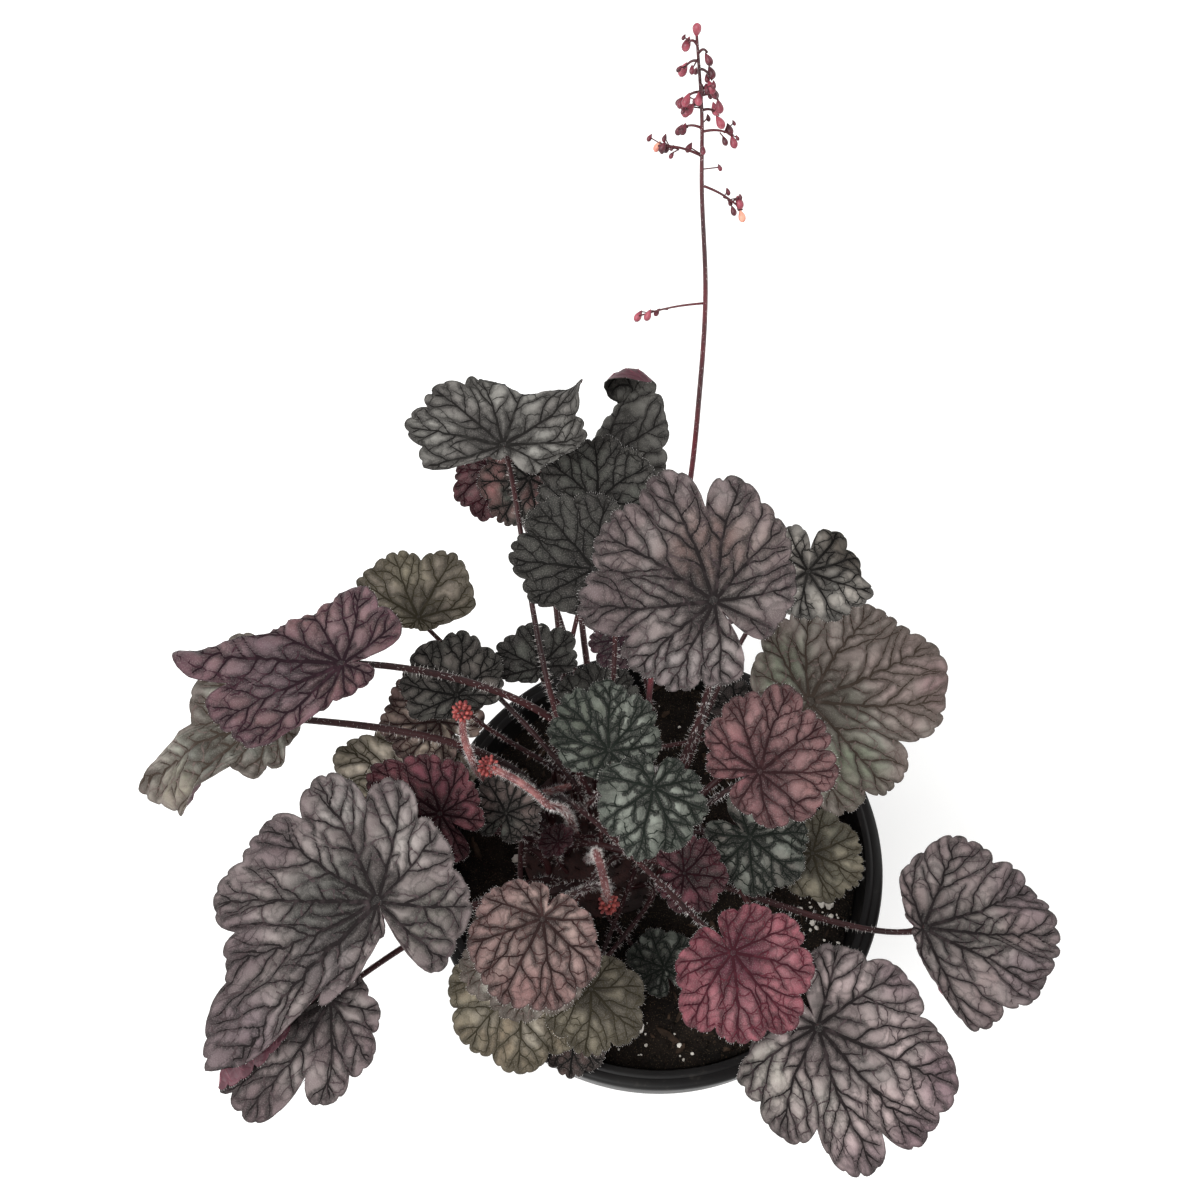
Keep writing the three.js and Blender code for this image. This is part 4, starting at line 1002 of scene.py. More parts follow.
def blade_place(leaf, flat, relief):
    """Points of the blade's middle surface from their flat places, waved, curled and set up."""
    size = size_of(leaf)
    turn = np.arctan2(flat[:, 1], flat[:, 0])
    out = np.hypot(flat[:, 0], flat[:, 1]) / size
    ripple = np.sin(WAVES_ROUND * turn + leaf["hub"][0])
    frill = 0.02 * np.sin(13 * turn + leaf["hub"][1]) * np.clip(out, 0, 1.1) ** 4
    pleat = PLEAT * out * (off_vein(leaf, turn) ** 1.5 - 0.4)
    swell = SWELL * np.sin(0.15 * flat[:, 0] + leaf["hub"][1]) * np.sin(0.17 * flat[:, 1] + leaf["hub"][0])
    height = size * (CUP * out ** 2 + WAVE * out ** 3 * ripple + frill + pleat + swell * out) + relief
    points = np.column_stack([flat, height])
    for curl in leaf.get("curls", []):
        points = curl_over(points, *curl)
    return np.array(leaf["hub"]) + points @ leaf_axes(leaf)


def walk_vein(rng, leaf, start, heading, bend, sector, limit=40):
    """A vein that wanders from its start until it nears the edge or leaves its own lobe."""
    line = [start]
    sway = 0
    low, high = sector
    step = VEIN_STEP * (size_of(leaf) / TYPICAL_SIZE) ** 0.5
    for _ in range(limit):
        sway = 0.45 * sway + rng.uniform(-23, 23)
        heading += bend
        turn = math.radians(heading + sway)
        x, y = line[-1][0] + step * math.cos(turn), line[-1][1] + step * math.sin(turn)
        angle = math.degrees(math.atan2(y, x))
        if not low - 3 < angle < high + 3 or math.hypot(x, y) > 0.985 * lobe_reach(leaf["lobes"], angle):
            break
        line.append((x, y))
    return line


def along(line, share):
    """The point at a share of a line's length."""
    place = share * (len(line) - 1)
    i = min(int(place), len(line) - 2)
    (ax, ay), (bx, by) = line[i], line[i + 1]
    return (ax + (bx - ax) * (place - i), ay + (by - ay) * (place - i))


def grow_veins(rng, leaf):
    """All the veins as (flat points, width at the start, width at the end, rank)."""
    size = size_of(leaf)
    stout = 0.7 + 0.013 * size
    spacing = 5.8 + 0.035 * size
    veins, sides = [], []
    halves = half_lobes(leaf["lobes"])
    for i, lobe in enumerate(leaf["lobes"]):
        middle, reach = lobe[:2]
        sector = (halves[2 * i][1], halves[2 * i + 1][1])
        points = max(8, round(reach / 2.2))
        drift = rng.uniform(-2.5, 2.5)
        main = []
        for k in range(points + 1):
            share = 0.03 + 0.955 * k / points
            turn = math.radians(middle + drift * math.sin(5 * share) + rng.uniform(-1.1, 1.1))
            main.append((share * reach * math.cos(turn), share * reach * math.sin(turn)))
        veins.append((main, 1.2 * stout * (0.55 + 0.45 * reach / size), 0.45, 0))
        pairs = max(2, round(0.8 * reach / spacing))
        for side in (-1, 1):
            for k in range(pairs):
                share = 0.16 + 0.8 * (k + (0.45 if side > 0 else 0) + rng.uniform(-0.15, 0.15)) / pairs
                outward = 54 - 20 * share + rng.uniform(-6, 6)
                line = walk_vein(rng, leaf, along(main, min(share, 0.97)), middle + side * outward,
                                 -side * 1.2, sector)
                if len(line) < 3:
                    continue
                veins.append((line, stout * (0.7 - 0.22 * share), 0.4, 1))
                sides.append(line)
                if len(line) > 5:
                    turn = rng.choice((-38, 34))
                    fork = walk_vein(rng, leaf, along(line, rng.uniform(0.55, 0.8)),
                                     middle + side * (outward + turn - 12), 0, sector,
                                     max(3, round(0.5 * len(line))))
                    if len(fork) > 2:
                        veins.append((fork, 0.5, 0.3, 2))
    veins += [(link, 0.52 * stout, 0.36, 2)
              for link in cross_veins(rng, sides, [vein[0] for vein in veins])]
    return veins + vein_spurs(rng, veins)


def cross_veins(rng, sides, lines):
    """Thin veins from the side veins to the nearest vein on either hand, closing the cells."""
    links = []
    for line in sides:
        others = np.array([point for other in lines if other is not line for point in other[1:]])
        hand = rng.choice((-1, 1))
        place = rng.randrange(2, 4)
        while place < len(line):
            (ax, ay), (bx, by) = line[place - 1], line[place]
            gap = others - (bx, by)
            length = np.hypot(*gap.T)
            facing = hand * ((bx - ax) * gap[:, 1] - (by - ay) * gap[:, 0]) > 0.6 * LINK_STEP * length
            near = np.argmin(np.where(facing, length, np.inf))
            if facing[near] and 1.5 < length[near] < LINK_LIMIT:
                links.append(wavy_link(rng, (bx, by), others[near]))
            hand = -hand
            place += rng.randrange(2, 5)
    return links


def wavy_link(rng, start, end):
    """An uneven line between two points."""
    start, end = np.array(start), np.array(end)
    gap = end - start
    length = math.hypot(*gap)
    across = np.array([-gap[1], gap[0]]) / length
    steps = max(3, round(length / LINK_STEP))
    bow = rng.uniform(-0.22, 0.22) * length
    line = []
    for k in range(steps + 1):
        share = k / steps
        loose = 4 * share * (1 - share)
        off = loose * bow + min(1, 2 * loose) * rng.uniform(-0.45, 0.45)
        line.append(tuple(start + gap * share + across * off))
    return line


def vein_spurs(rng, veins):
    """Short blind veinlets that stand off the other veins."""
    spurs = []
    for line, _, _, rank in veins:
        for i in range(2, len(line) - 1):
            if rng.random() > 0.26:
                continue
            (ax, ay), (bx, by) = line[i], line[i + 1]
            turn = math.atan2(by - ay, bx - ax) + rng.choice((-1, 1)) * rng.uniform(0.8, 1.3)
            spur = [(ax, ay)]
            for _ in range(2):
                step = rng.uniform(0.4, 0.9)
                turn += rng.uniform(-0.4, 0.4)
                spur.append((spur[-1][0] + step * math.cos(turn), spur[-1][1] + step * math.sin(turn)))
            spurs.append((spur, 0.5, 0.14, 3))
    return spurs


def nearest(flat, lines, widths):
    """Distance from each flat point to the edge of the nearest vein."""
    places, half_widths = [], []
    for line, (start_width, end_width) in zip(lines, widths):
        for (ax, ay), (bx, by) in zip(line, line[1:]):
            for t in (0, 0.33, 0.67):
                places.append((ax + (bx - ax) * t, ay + (by - ay) * t, 0))
                half_widths.append((start_width + end_width) / 4)
        places.append((*line[-1], 0))
        half_widths.append(end_width / 2)
    tree = kdtree.KDTree(len(places))
    for i, place in enumerate(places):
        tree.insert(place, i)
    tree.balance()
    found = [tree.find((x, y, 0))[1:] for x, y in flat.tolist()]
    return np.array([gap - half_widths[i] for i, gap in found])


def vein_distances(flat, veins):
    """Distance to any vein, and to the main and side veins alone."""
    big = [vein for vein in veins if vein[3] < 2]
    return [nearest(flat, [vein[0] for vein in some], [vein[1:3] for vein in some])
            for some in (veins, big)]


class Blade:
    """One leaf's blade: its upper and lower faces as grids of rings and columns."""

    def __init__(self, leaf, rng):
        self.leaf = leaf
        self.size = size_of(leaf)
        self.angles, self.reaches, self.cuts = edge_columns(leaf, rng)
        self.shares = blade_rings(self.size)
        self.veins = grow_veins(rng, leaf)
        self.rng = np.random.default_rng(rng.randrange(10000))
        radii = self.shares[:, None] * self.reaches * (1 - self.cuts * self.shares[:, None] ** 8)
        turns = np.radians(self.angles)
        flat = np.stack([radii * np.cos(turns), radii * np.sin(turns)], -1)
        self.flat = flat.reshape(-1, 2)
        self.gap, self.big_gap = vein_distances(self.flat, self.veins)
        self.bulge = QUILT * self.size + 0.2
        edge = np.repeat(self.shares, len(self.angles))
        sunk = 0.35 * np.exp(-(self.gap / 0.9) ** 2) + 0.65 * np.exp(-(self.big_gap / 2.2) ** 2)
        relief = self.bulge * (0.4 - sunk * np.clip((1 - edge) * 9, 0.25, 1))
        middle = blade_place(leaf, self.flat, relief).reshape(*flat.shape[:2], 3)
        outward = np.gradient(middle, axis=0)
        around = np.roll(middle, -1, 1) - np.roll(middle, 1, 1)
        normal = np.cross(outward, around)
        self.normal = normal / np.linalg.norm(normal, axis=-1, keepdims=True)
        thick = np.interp(self.shares, [0, 0.7, 1], [BLADE_THICKNESS, BLADE_THICKNESS, MARGIN_THICKNESS])
        half = thick[:, None, None] / 2
        self.faces_of = {1: middle + self.normal * half, -1: middle - self.normal * half}
        self.rows, self.columns = radii.shape

    def on_face(self, flat, side, lift):
        """Points at flat places on the upper or lower face, raised by lift off it."""
        angle = np.degrees(np.arctan2(flat[:, 1], flat[:, 0]))
        wrapped = np.append(self.angles, self.angles[0] + 360)
        angle = np.where(angle < self.angles[0], angle + 360, angle)
        column = np.interp(angle, wrapped, np.arange(self.columns + 1))
        reach = np.interp(angle, wrapped, np.append(self.reaches, self.reaches[0]))
        cut = np.interp(angle, wrapped, np.append(self.cuts, self.cuts[0]))
        share = np.hypot(*flat.T) / reach
        share = share * (1 + cut * share ** 8)
        row = np.interp(share, self.shares, np.arange(self.rows))
        i, j = np.minimum(row.astype(int), self.rows - 2), column.astype(int) % self.columns
        a, b = (row - i)[:, None], (column - column.astype(int))[:, None]
        after = (j + 1) % self.columns

        def blended(grid):
            inner = grid[i, j] * (1 - b) + grid[i, after] * b
            outer = grid[i + 1, j] * (1 - b) + grid[i + 1, after] * b
            return inner * (1 - a) + outer * a

        return blended(self.faces_of[side]) + side * np.asarray(lift)[:, None] * blended(self.normal)

    def skin(self, side):
        """Points and faces of the upper (1) or lower (-1) face, with its middle point last."""
        grid = self.faces_of[side]
        points = np.concatenate([grid.reshape(-1, 3), [grid[0].mean(0)]])
        quads = grid_faces(self.rows, self.columns)
        middle = fan(len(points) - 1, np.arange(self.columns))
        return points, [quads[:, ::side], middle[:, ::side]]

    def ridges(self, side, ranks, widen, lift):
        """Veins as low ridges with a tent's section, whose sides run down into the face."""
        left, crest, right, lifts, links = [], [], [], [], []
        count = 0
        for line, start_width, end_width, rank in self.veins:
            if rank not in ranks:
                continue
            points = np.array(line)
            way = np.linspace(0, 1, len(points))
            width = widen * (start_width + (end_width - start_width) * way ** 0.7)
            width *= self.rng.uniform(0.75, 1.25, len(points))
            width[-1] *= 0.4
            step = np.gradient(points, axis=0)
            step /= np.linalg.norm(step, axis=1, keepdims=True) + 1e-9
            across = np.column_stack([-step[:, 1], step[:, 0]]) * width[:, None] / 2
            left.append(points + across)
            crest.append(points)
            right.append(points - across)
            height = 0.13 + lift * width
            height[-1] = 0.02
            lifts.append(height)
            links.append(count + np.arange(len(points) - 1))
            count += len(points)
        lifts = np.concatenate(lifts)
        sunk = np.full(len(lifts), -0.04)
        points = np.concatenate([
            self.on_face(np.concatenate(left), side, sunk),
            self.on_face(np.concatenate(crest), side, lifts),
            self.on_face(np.concatenate(right), side, sunk),
        ])
        at = np.concatenate(links)
        near_side = np.stack([at + count, at + count + 1, at + 1, at], -1)
        far_side = np.stack([at + 2 * count, at + 2 * count + 1, at + count + 1, at + count], -1)
        return points, [np.concatenate([near_side, far_side])[:, ::side]]


def foot_of(spot):
    """Where a stalk leaves the crown."""
    turn = math.radians(spot * GOLDEN_ANGLE)
    out = SPIRAL_STEP * math.sqrt(spot + 0.3)
    return Vector((CROWN_X + out * math.cos(turn), CROWN_Y + out * math.sin(turn), crown_height(out)))


def stalk_path(leaf, hub):
    """The stalk stands upright in the crown, arches over and meets the hub from underneath."""
    foot, hub = foot_of(leaf["spot"]), Vector(hub)
    ahead, _, normal = (Vector(axis) for axis in leaf_axes(leaf))
    span = (hub - foot).length
    rise = foot + Vector(leaf["bow"]) + Vector((0, 0, 0.4 * span))
    arrive = hub - normal * 0.25 * span - ahead * 0.12 * span
    path = [foot - Vector((0, 0, FOOT_DEPTH))]
    for t in np.linspace(0, 1, STALK_STEPS):
        path.append((1 - t) ** 3 * foot + 3 * t * (1 - t) ** 2 * rise + 3 * t ** 2 * (1 - t) * arrive
                    + t ** 3 * hub)
    return np.array(path)


def tube(path, radii, sides):
    """A round stem along a path, closed at both ends."""
    ahead = np.gradient(path, axis=0)
    ahead /= np.linalg.norm(ahead, axis=1, keepdims=True)
    across = np.array([1, 0.3, 0.2])
    turns = np.linspace(0, 2 * np.pi, sides, endpoint=False)
    rings = []
    for centre, direction, radius in zip(path, ahead, radii):
        across = across - direction * across.dot(direction)
        across /= np.linalg.norm(across)
        up = np.cross(direction, across)
        rings.append(centre + radius * (np.outer(np.cos(turns), across) + np.outer(np.sin(turns), up)))
    points = np.concatenate([*rings, path[:1], path[-1:]])
    count = len(path) * sides
    first = np.arange(sides)
    quads = grid_faces(len(path), sides)[:, ::-1]
    return points, [quads, fan(count, first[::-1]), fan(count + 1, first + count - sides)]


def hairs(rng, roots, outward, lengths, thickness=0.11):
    """Fine tapering hairs, each a closed three-sided spike with its root sunk in."""
    count = len(roots)
    lean = outward + np.array([[rng.uniform(-0.14, 0.14) for _ in range(3)] for _ in range(count)])
    lean /= np.linalg.norm(lean, axis=1, keepdims=True)
    side = np.cross(lean, [0.3, 0.2, 0.93])
    side /= np.linalg.norm(side, axis=1, keepdims=True) + 1e-9
    up = np.cross(lean, side)
    corners = []
    for turn in HAIR_CORNERS:
        ring = thickness / 2 * (math.cos(turn) * side + math.sin(turn) * up)
        corners.append(roots + ring - lean * 0.1)
    corners.append(roots + lean * lengths[:, None])
    at = np.arange(count)
    faces = [np.stack([at, at + count, at + 3 * count], -1),
             np.stack([at + count, at + 2 * count, at + 3 * count], -1),
             np.stack([at + 2 * count, at, at + 3 * count], -1),
             np.stack([at, at + 2 * count, at + count], -1)]
    return np.concatenate(corners), [np.concatenate(faces)]


def stem_hairs(rng, path, radii, per_mm, length):
    """Hairs all round a stem, spread evenly from a little above its foot."""
    lengths = np.linalg.norm(np.diff(path, axis=0), axis=1)
    whole = lengths.sum()
    count = max(8, int(whole * per_mm))
    marks = np.concatenate([[0], np.cumsum(lengths)])
    roots, outward = [], []
    for _ in range(count):
        way = rng.uniform(0.05, 0.995) * whole
        i = min(np.searchsorted(marks, way) - 1, len(lengths) - 1)
        share = (way - marks[i]) / lengths[i]
        ahead = (path[i + 1] - path[i]) / lengths[i]
        direction = np.array([rng.gauss(0, 1) for _ in range(3)])
        direction -= ahead * direction.dot(ahead)
        direction /= np.linalg.norm(direction)
        roots.append(path[i] + (path[i + 1] - path[i]) * share + direction * (radii[i] * 0.97))
        outward.append(direction)
    sizes = np.array([length * rng.uniform(0.5, 1.15) for _ in range(count)])
    return hairs(rng, np.array(roots), np.array(outward), sizes)


def margin_hairs(rng, blade):
    """A sparse fringe of short hairs along the blade's edge."""
    rim = (blade.faces_of[1][-1] + blade.faces_of[-1][-1]) / 2
    inward = (blade.faces_of[1][-3] + blade.faces_of[-1][-3]) / 2
    picks = np.array([k for k in range(blade.columns)
                      if blade.reaches[k] > SINUS_REACH + 1 and rng.random() < 0.75])
    outward = rim[picks] - inward[picks]
    outward /= np.linalg.norm(outward, axis=1, keepdims=True)
    sizes = np.array([rng.uniform(0.35, 0.85) for _ in picks])
    return hairs(rng, rim[picks], outward, sizes, 0.09)


def noted(tree, name):
    """The three numbers that note_on_points stored, as one socket and as three."""
    note = tree.nodes.new("ShaderNodeAttribute")
    note.attribute_name = name
    apart = tree.nodes.new("ShaderNodeSeparateXYZ")
    tree.links.new(note.outputs["Vector"], apart.inputs[0])
    return note.outputs["Vector"], apart.outputs


def add_patch(tree, place, colour, seed, patch):
    """A soft patch of another colour, at an angle and distance from the hub."""
    angle, distance, radius, hexes, strength = patch
    turn = math.radians(angle)
    gap = tree.nodes.new("ShaderNodeVectorMath")
    gap.operation = "DISTANCE"
    tree.links.new(place, gap.inputs[0])
    gap.inputs[1].default_value = (distance * math.cos(turn), distance * math.sin(turn), seed)
    share = spread(tree, gap.outputs["Value"], radius, 0.45 * radius, 0, strength)
    return blend_colours(tree, share, colour, hexes)


def fine_net(tree, place):
    """The net between the side veins: distance to its lines in mm, and a tone for each cell."""
    sway = pattern(tree, "Noise", place, scale=0.32, detail=3, roughness=0.6)
    bent = tree.nodes.new("ShaderNodeVectorMath")
    bent.operation = "MULTIPLY_ADD"
    bent.inputs[1].default_value = (4.5, 4.5, 0)
    tree.links.new(sway.outputs["Color"], bent.inputs[0])
    tree.links.new(place, bent.inputs[2])
    lines = pattern(tree, "Voronoi", bent.outputs["Vector"], scale=NET_SCALE, feature="DISTANCE_TO_EDGE",
                    randomness=0.9)
    cells = pattern(tree, "Voronoi", bent.outputs["Vector"], scale=NET_SCALE, randomness=0.9)
    return (reckon(tree, "DIVIDE", lines.outputs["Distance"], NET_SCALE),
            reckon(tree, "FRACT", reckon(tree, "MULTIPLY", cells.outputs["Color"], 7)))


def blade_look(tree, leaf, kind, seed):
    """The colour of a blade between its veins, and the net and grain that its finish shares."""
    place, _ = noted(tree, "blade_plane")
    _, (gap, big_gap, share) = noted(tree, "vein_shade")
    cloud = pattern(tree, "Noise", place, scale=0.06, detail=3, roughness=0.55).outputs[0]
    blotch = pattern(tree, "Noise", place, scale=0.25, detail=5, roughness=0.65).outputs[0]
    grain = pattern(tree, "Noise", place, scale=2.6, detail=4).outputs[0]
    lines, cells = fine_net(tree, place)
    colour = blend_colours(tree, spread(tree, cloud, 0.4, 0.62), leaf["island"], kind["pale"])
    for patch in leaf.get("patches", []):
        colour = add_patch(tree, place, colour, seed, patch)
    toned = blend_colours(tree, spread(tree, cells, 0, 1, 0, 0.22), colour, kind["vein"])
    worn = blend_colours(tree, spread(tree, blotch, 0.46, 0.75, 0, 0.3), toned, kind["margin"])
    edge = reckon(tree, "ADD", share, spread(tree, blotch, 0.3, 0.7, -0.14, 0.14))
    edged = blend_colours(tree, spread(tree, edge, 0.6, 1.0, 0, 0.6), worn, kind["margin"])
    rimmed = blend_colours(tree, spread(tree, share, 0.97, 0.995, 0, 0.6), edged, kind["vein"])
    fade = spread(tree, share, 0.6, 0.02, 0, 0.8)
    spill = reckon(tree, "MULTIPLY", spread(tree, big_gap, 7.0, 0.5), fade)
    dusk = reckon(tree, "ADD", share, spread(tree, cloud, 0.3, 0.7, -0.25, 0.25))
    dusky = blend_colours(tree, spread(tree, dusk, 0.5, 0.05, 0, 0.5), rimmed, kind["hub"])
    hubbed = blend_colours(tree, spill, dusky, kind["hub"])
    soft = blend_colours(tree, spread(tree, gap, 1.5, 0.0, 0, 0.42), hubbed, kind["vein"])
    ragged = reckon(tree, "ADD", big_gap, spread(tree, blotch, 0.3, 0.7, -0.8, 0.8))
    halo = spread(tree, ragged, kind["halo"], kind["core"] * kind["halo"], 0, kind["soak"])
    haloed = blend_colours(tree, halo, soft, kind["vein"])
    thread = spread(tree, lines, 0.42, 0.1, 0, kind["net"])
    traced = blend_colours(tree, thread, haloed, kind["vein"])
    smudge = blend_colours(tree, spread(tree, lines, 1.3, 0.2, 0, 0.14), traced, kind["vein"])
    return blend_colours(tree, spread(tree, grain, 0.5, 0.75, 0, 0.22), smudge, "b5aea8"), lines, grain


def blade_finish(name, leaf, seed):
    """The upper face: satin, silvered between dark veins, darker at hub and margin."""
    material, tree, shader = new_finish(name, 0.55)
    colour, lines, grain = blade_look(tree, leaf, LEAF_KINDS[leaf["kind"]], seed)
    tree.links.new(colour, shader.inputs["Base Color"])
    tree.links.new(spread(tree, grain, 0.3, 0.7, 0.48, 0.64), shader.inputs["Roughness"])
    shader.inputs["Specular IOR Level"].default_value = 0.16
    relief = reckon(tree, "ADD", spread(tree, lines, 0, 1.6), spread(tree, grain, 0.3, 0.7, 0, 0.4))
    raise_surface(tree, shader, relief, 0.35, 0.9)
    return material


def vein_finish(name, kind, fading):
    """A vein of the upper face; a fine one fades towards the blade's own colour."""
    material, tree, shader = new_finish(name, 0.75)
    shader.inputs["Specular IOR Level"].default_value = 0.06
    tone = pattern(tree, "Noise", object_place(tree), scale=260, detail=3).outputs[0]
    dark = blend_colours(tree, fading, kind["vein"], kind["margin"])
    tree.links.new(blend_colours(tree, spread(tree, tone, 0.5, 0.85, 0, 0.35), dark, kind["margin"]),
                   shader.inputs["Base Color"])
    return material


def underside_finish():
    """The lower face: wine purple, paler along the net of veins."""
    material, tree, shader = new_finish("leaf_underside", 0.55)
    place, _ = noted(tree, "blade_plane")
    cloud = pattern(tree, "Noise", place, scale=0.12, detail=5).outputs[0]
    net = pattern(tree, "Voronoi", place, scale=0.42, feature="DISTANCE_TO_EDGE").outputs["Distance"]
    colour = blend_colours(tree, spread(tree, cloud, 0.35, 0.68), "3a1520", "52202e")
    netted = blend_colours(tree, spread(tree, net, 0, 0.1, 0.3, 0), colour, "663440")
    tree.links.new(netted, shader.inputs["Base Color"])
    raise_surface(tree, shader, spread(tree, net, 0.3, 0), 0.18, 0.8)
    return material


def rib_finish():
    """A rib under the blade: paler and pinker than the skin round it."""
    material, tree, shader = new_finish("leaf_rib", 0.5)
    tone = pattern(tree, "Noise", object_place(tree), scale=200, detail=3).outputs[0]
    tree.links.new(blend_colours(tree, spread(tree, tone, 0.35, 0.7), "5c2734", "7c4350"),
                   shader.inputs["Base Color"])
    return material


def stalk_finish():
    """A stalk: wine red to pinkish brown, streaked along its length, darkened as painted shade."""
    material, tree, shader = new_finish("leaf_stalk", 0.45)
    place = object_place(tree)
    tone = pattern(tree, "Noise", place, scale=35, detail=3).outputs[0]
    streak = pattern(tree, "Noise", place, scale=900, detail=2, distortion=0.6).outputs[0]
    # Both reds are darkened past the stalk's own colour as painted shade from the leaves above.
    colour = blend_colours(tree, spread(tree, tone, 0.35, 0.65), "1e0d0e", "3c1d1e")
    streaked = blend_colours(tree, spread(tree, streak, 0.5, 0.8, 0, 0.3), colour, "532c2d")
    shader.inputs["Specular IOR Level"].default_value = 0.25
    tree.links.new(streaked, shader.inputs["Base Color"])
    raise_surface(tree, shader, streak, 0.1)
    return material


def hair_finish():
    """Fine white hairs, faintly warm in places."""
    material, tree, shader = new_finish("plant_hair", 0.6)
    tone = pattern(tree, "Noise", object_place(tree), scale=90, detail=2).outputs[0]
    tree.links.new(blend_colours(tree, spread(tree, tone, 0.3, 0.7), "f0e8e2", "fffdfb"),
                   shader.inputs["Base Color"])
    return material


underside = underside_finish()
rib = rib_finish()
stalk_skin = stalk_finish()
hair_white = hair_finish()
vein_finishes = {name: (vein_finish(f"vein_{name}", kind, 0.04),
                        vein_finish(f"veinlet_{name}", kind, kind["faint"]))
                 for name, kind in LEAF_KINDS.items()}


def note_on_points(piece, name, values):
    """Stores three numbers for each of the piece's first points, for its finish to read."""
    mesh = piece.data
    numbers = np.zeros((len(mesh.vertices), 3), np.float32)
    numbers[:len(values)] = values
    mesh.attributes.new(name, "FLOAT_VECTOR", "POINT").data.foreach_set("vector", numbers.ravel())


def make_leaf(node, leaf, number):
    """One leaf as one piece: blade, veins, ribs, stalk and hairs."""
    rng = random.Random(100 + number)
    vein, veinlet = vein_finishes[leaf["kind"]]
    blade = Blade(leaf, rng)
    top_points, top_faces = blade.skin(1)
    low_points, low_faces = blade.skin(-1)
    count = len(top_points)
    outer = np.arange(blade.columns) + (blade.rows - 1) * blade.columns
    after = np.roll(outer, -1)
    rim = np.stack([outer, outer + count, after + count, after], -1)
    skin_groups = [(faces, UPPER, True) for faces in top_faces]
    skin_groups += [(faces + count, UNDER, True) for faces in low_faces] + [(rim, UPPER, False)]
    path = stalk_path(leaf, low_points[-1])
    foot_radius = 0.8 + 0.012 * blade.size
    radii = foot_radius * np.interp(np.linspace(0, 1, len(path)), [0, 0.92, 1], [1, 0.72, 0.95])
    piece = make_piece(node.replace("leaf_", "foliage_"), [
        (np.concatenate([top_points, low_points]), skin_groups),
        painted(blade.ridges(1, BIG_VEINS, RIDGE_WIDTH, RIDGE_LIFT), VEIN),
        painted(blade.ridges(1, SMALL_VEINS, RIDGE_WIDTH, RIDGE_LIFT), VEINLET),
        painted(blade.ridges(-1, BIG_VEINS, RIDGE_WIDTH, RIB_LIFT), RIB),
        painted(tube(path, radii, STALK_SIDES), STALK),
        painted(stem_hairs(rng, path[2:], radii[2:], STALK_HAIRS, STALK_HAIR_LENGTH), HAIR,
                smooth=False),
        painted(margin_hairs(rng, blade), HAIR, smooth=False),
    ], [blade_finish(f"blade_{node[5:]}", leaf, SEED_STEP * number), underside, vein, rib, stalk_skin,
        hair_white, veinlet])
    plane = np.column_stack([blade.flat, np.full(len(blade.flat), SEED_STEP * number)])
    plane = np.concatenate([plane, [(0, 0, SEED_STEP * number)]])
    shade = np.column_stack([blade.gap, blade.big_gap, np.repeat(blade.shares, blade.columns)])
    shade = np.concatenate([shade, [(0, 0, 0)]])
    note_on_points(piece, "blade_plane", np.concatenate([plane, plane]))
    note_on_points(piece, "vein_shade", np.concatenate([shade, shade]))
    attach(piece, "root")
    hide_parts(node)


for leaf_number, (leaf_node, leaf_data) in enumerate(LEAVES.items()):
    make_leaf(leaf_node, leaf_data, leaf_number)


# ---- the flower stem ----
# One tall wiry stem, maroon and finely hairy, with short side branches near its top. Each branch
# carries a few drop-shaped buds on threads: maroon while small, rose as they swell, and peach at
# the ends of the fullest branches.
SCAPE_SPOT = 16
SCAPE_RADIUS = 1.2
SCAPE_TIP_RADIUS = 0.3
SCAPE_SIDES = 14
SCAPE_STEPS = 110
SCAPE_HAIRS = 2.0  # to a millimetre
SCAPE_HAIR_LENGTH = 0.35
BRANCH_RADII = (0.34, 0.22)  # at its root and its tip
BRANCH_STEPS = 9
THREAD_RADIUS = 0.17
SCAPE_PATH = [(-6, 24, 150), (-2, 47, 205), (6, 68, 262), (7, 73, 310), (6, 73, 350),
              (2.6, 72, 388), (1.2, 72, 410), (-1.2, 72, 431)]
BUD_RADIUS = 1.15
BUD_LENGTH = 3.0  # in radii
BUD_RINGS = 9
BUD_OFFSET = 0.9
BRIGHT_RADIUS = 1.05
FULL_BRANCH = 4
# Side branches: height on the stem, compass direction, length, rise, number of buds.
BRANCHES = [
    (347, 180, 17, -5, 3), (389, -10, 10, -6, 4), (398, 180, 10, 3, 4), (405, 0, 7, -1, 3),
    (406, 170, 5, -1, 2), (411, 10, 4, -2, 2), (412, 175, 3, -1, 2), (415, 15, 4, -2, 2),
    (416, 190, 4, -2, 2), (418, -80, 3, 0, 2), (422, -20, 3, -2, 2), (424, 175, 3, -2, 1),
    (426, 10, 2, 0, 1), (428, 190, 2, 1, 1),
]
# Single buds on threads all round the top of the stem, between and above the branches.
LONE_BUDS = 8
LONE_BUDS_FROM = 394
LONE_BUDS_STEP = 4.4


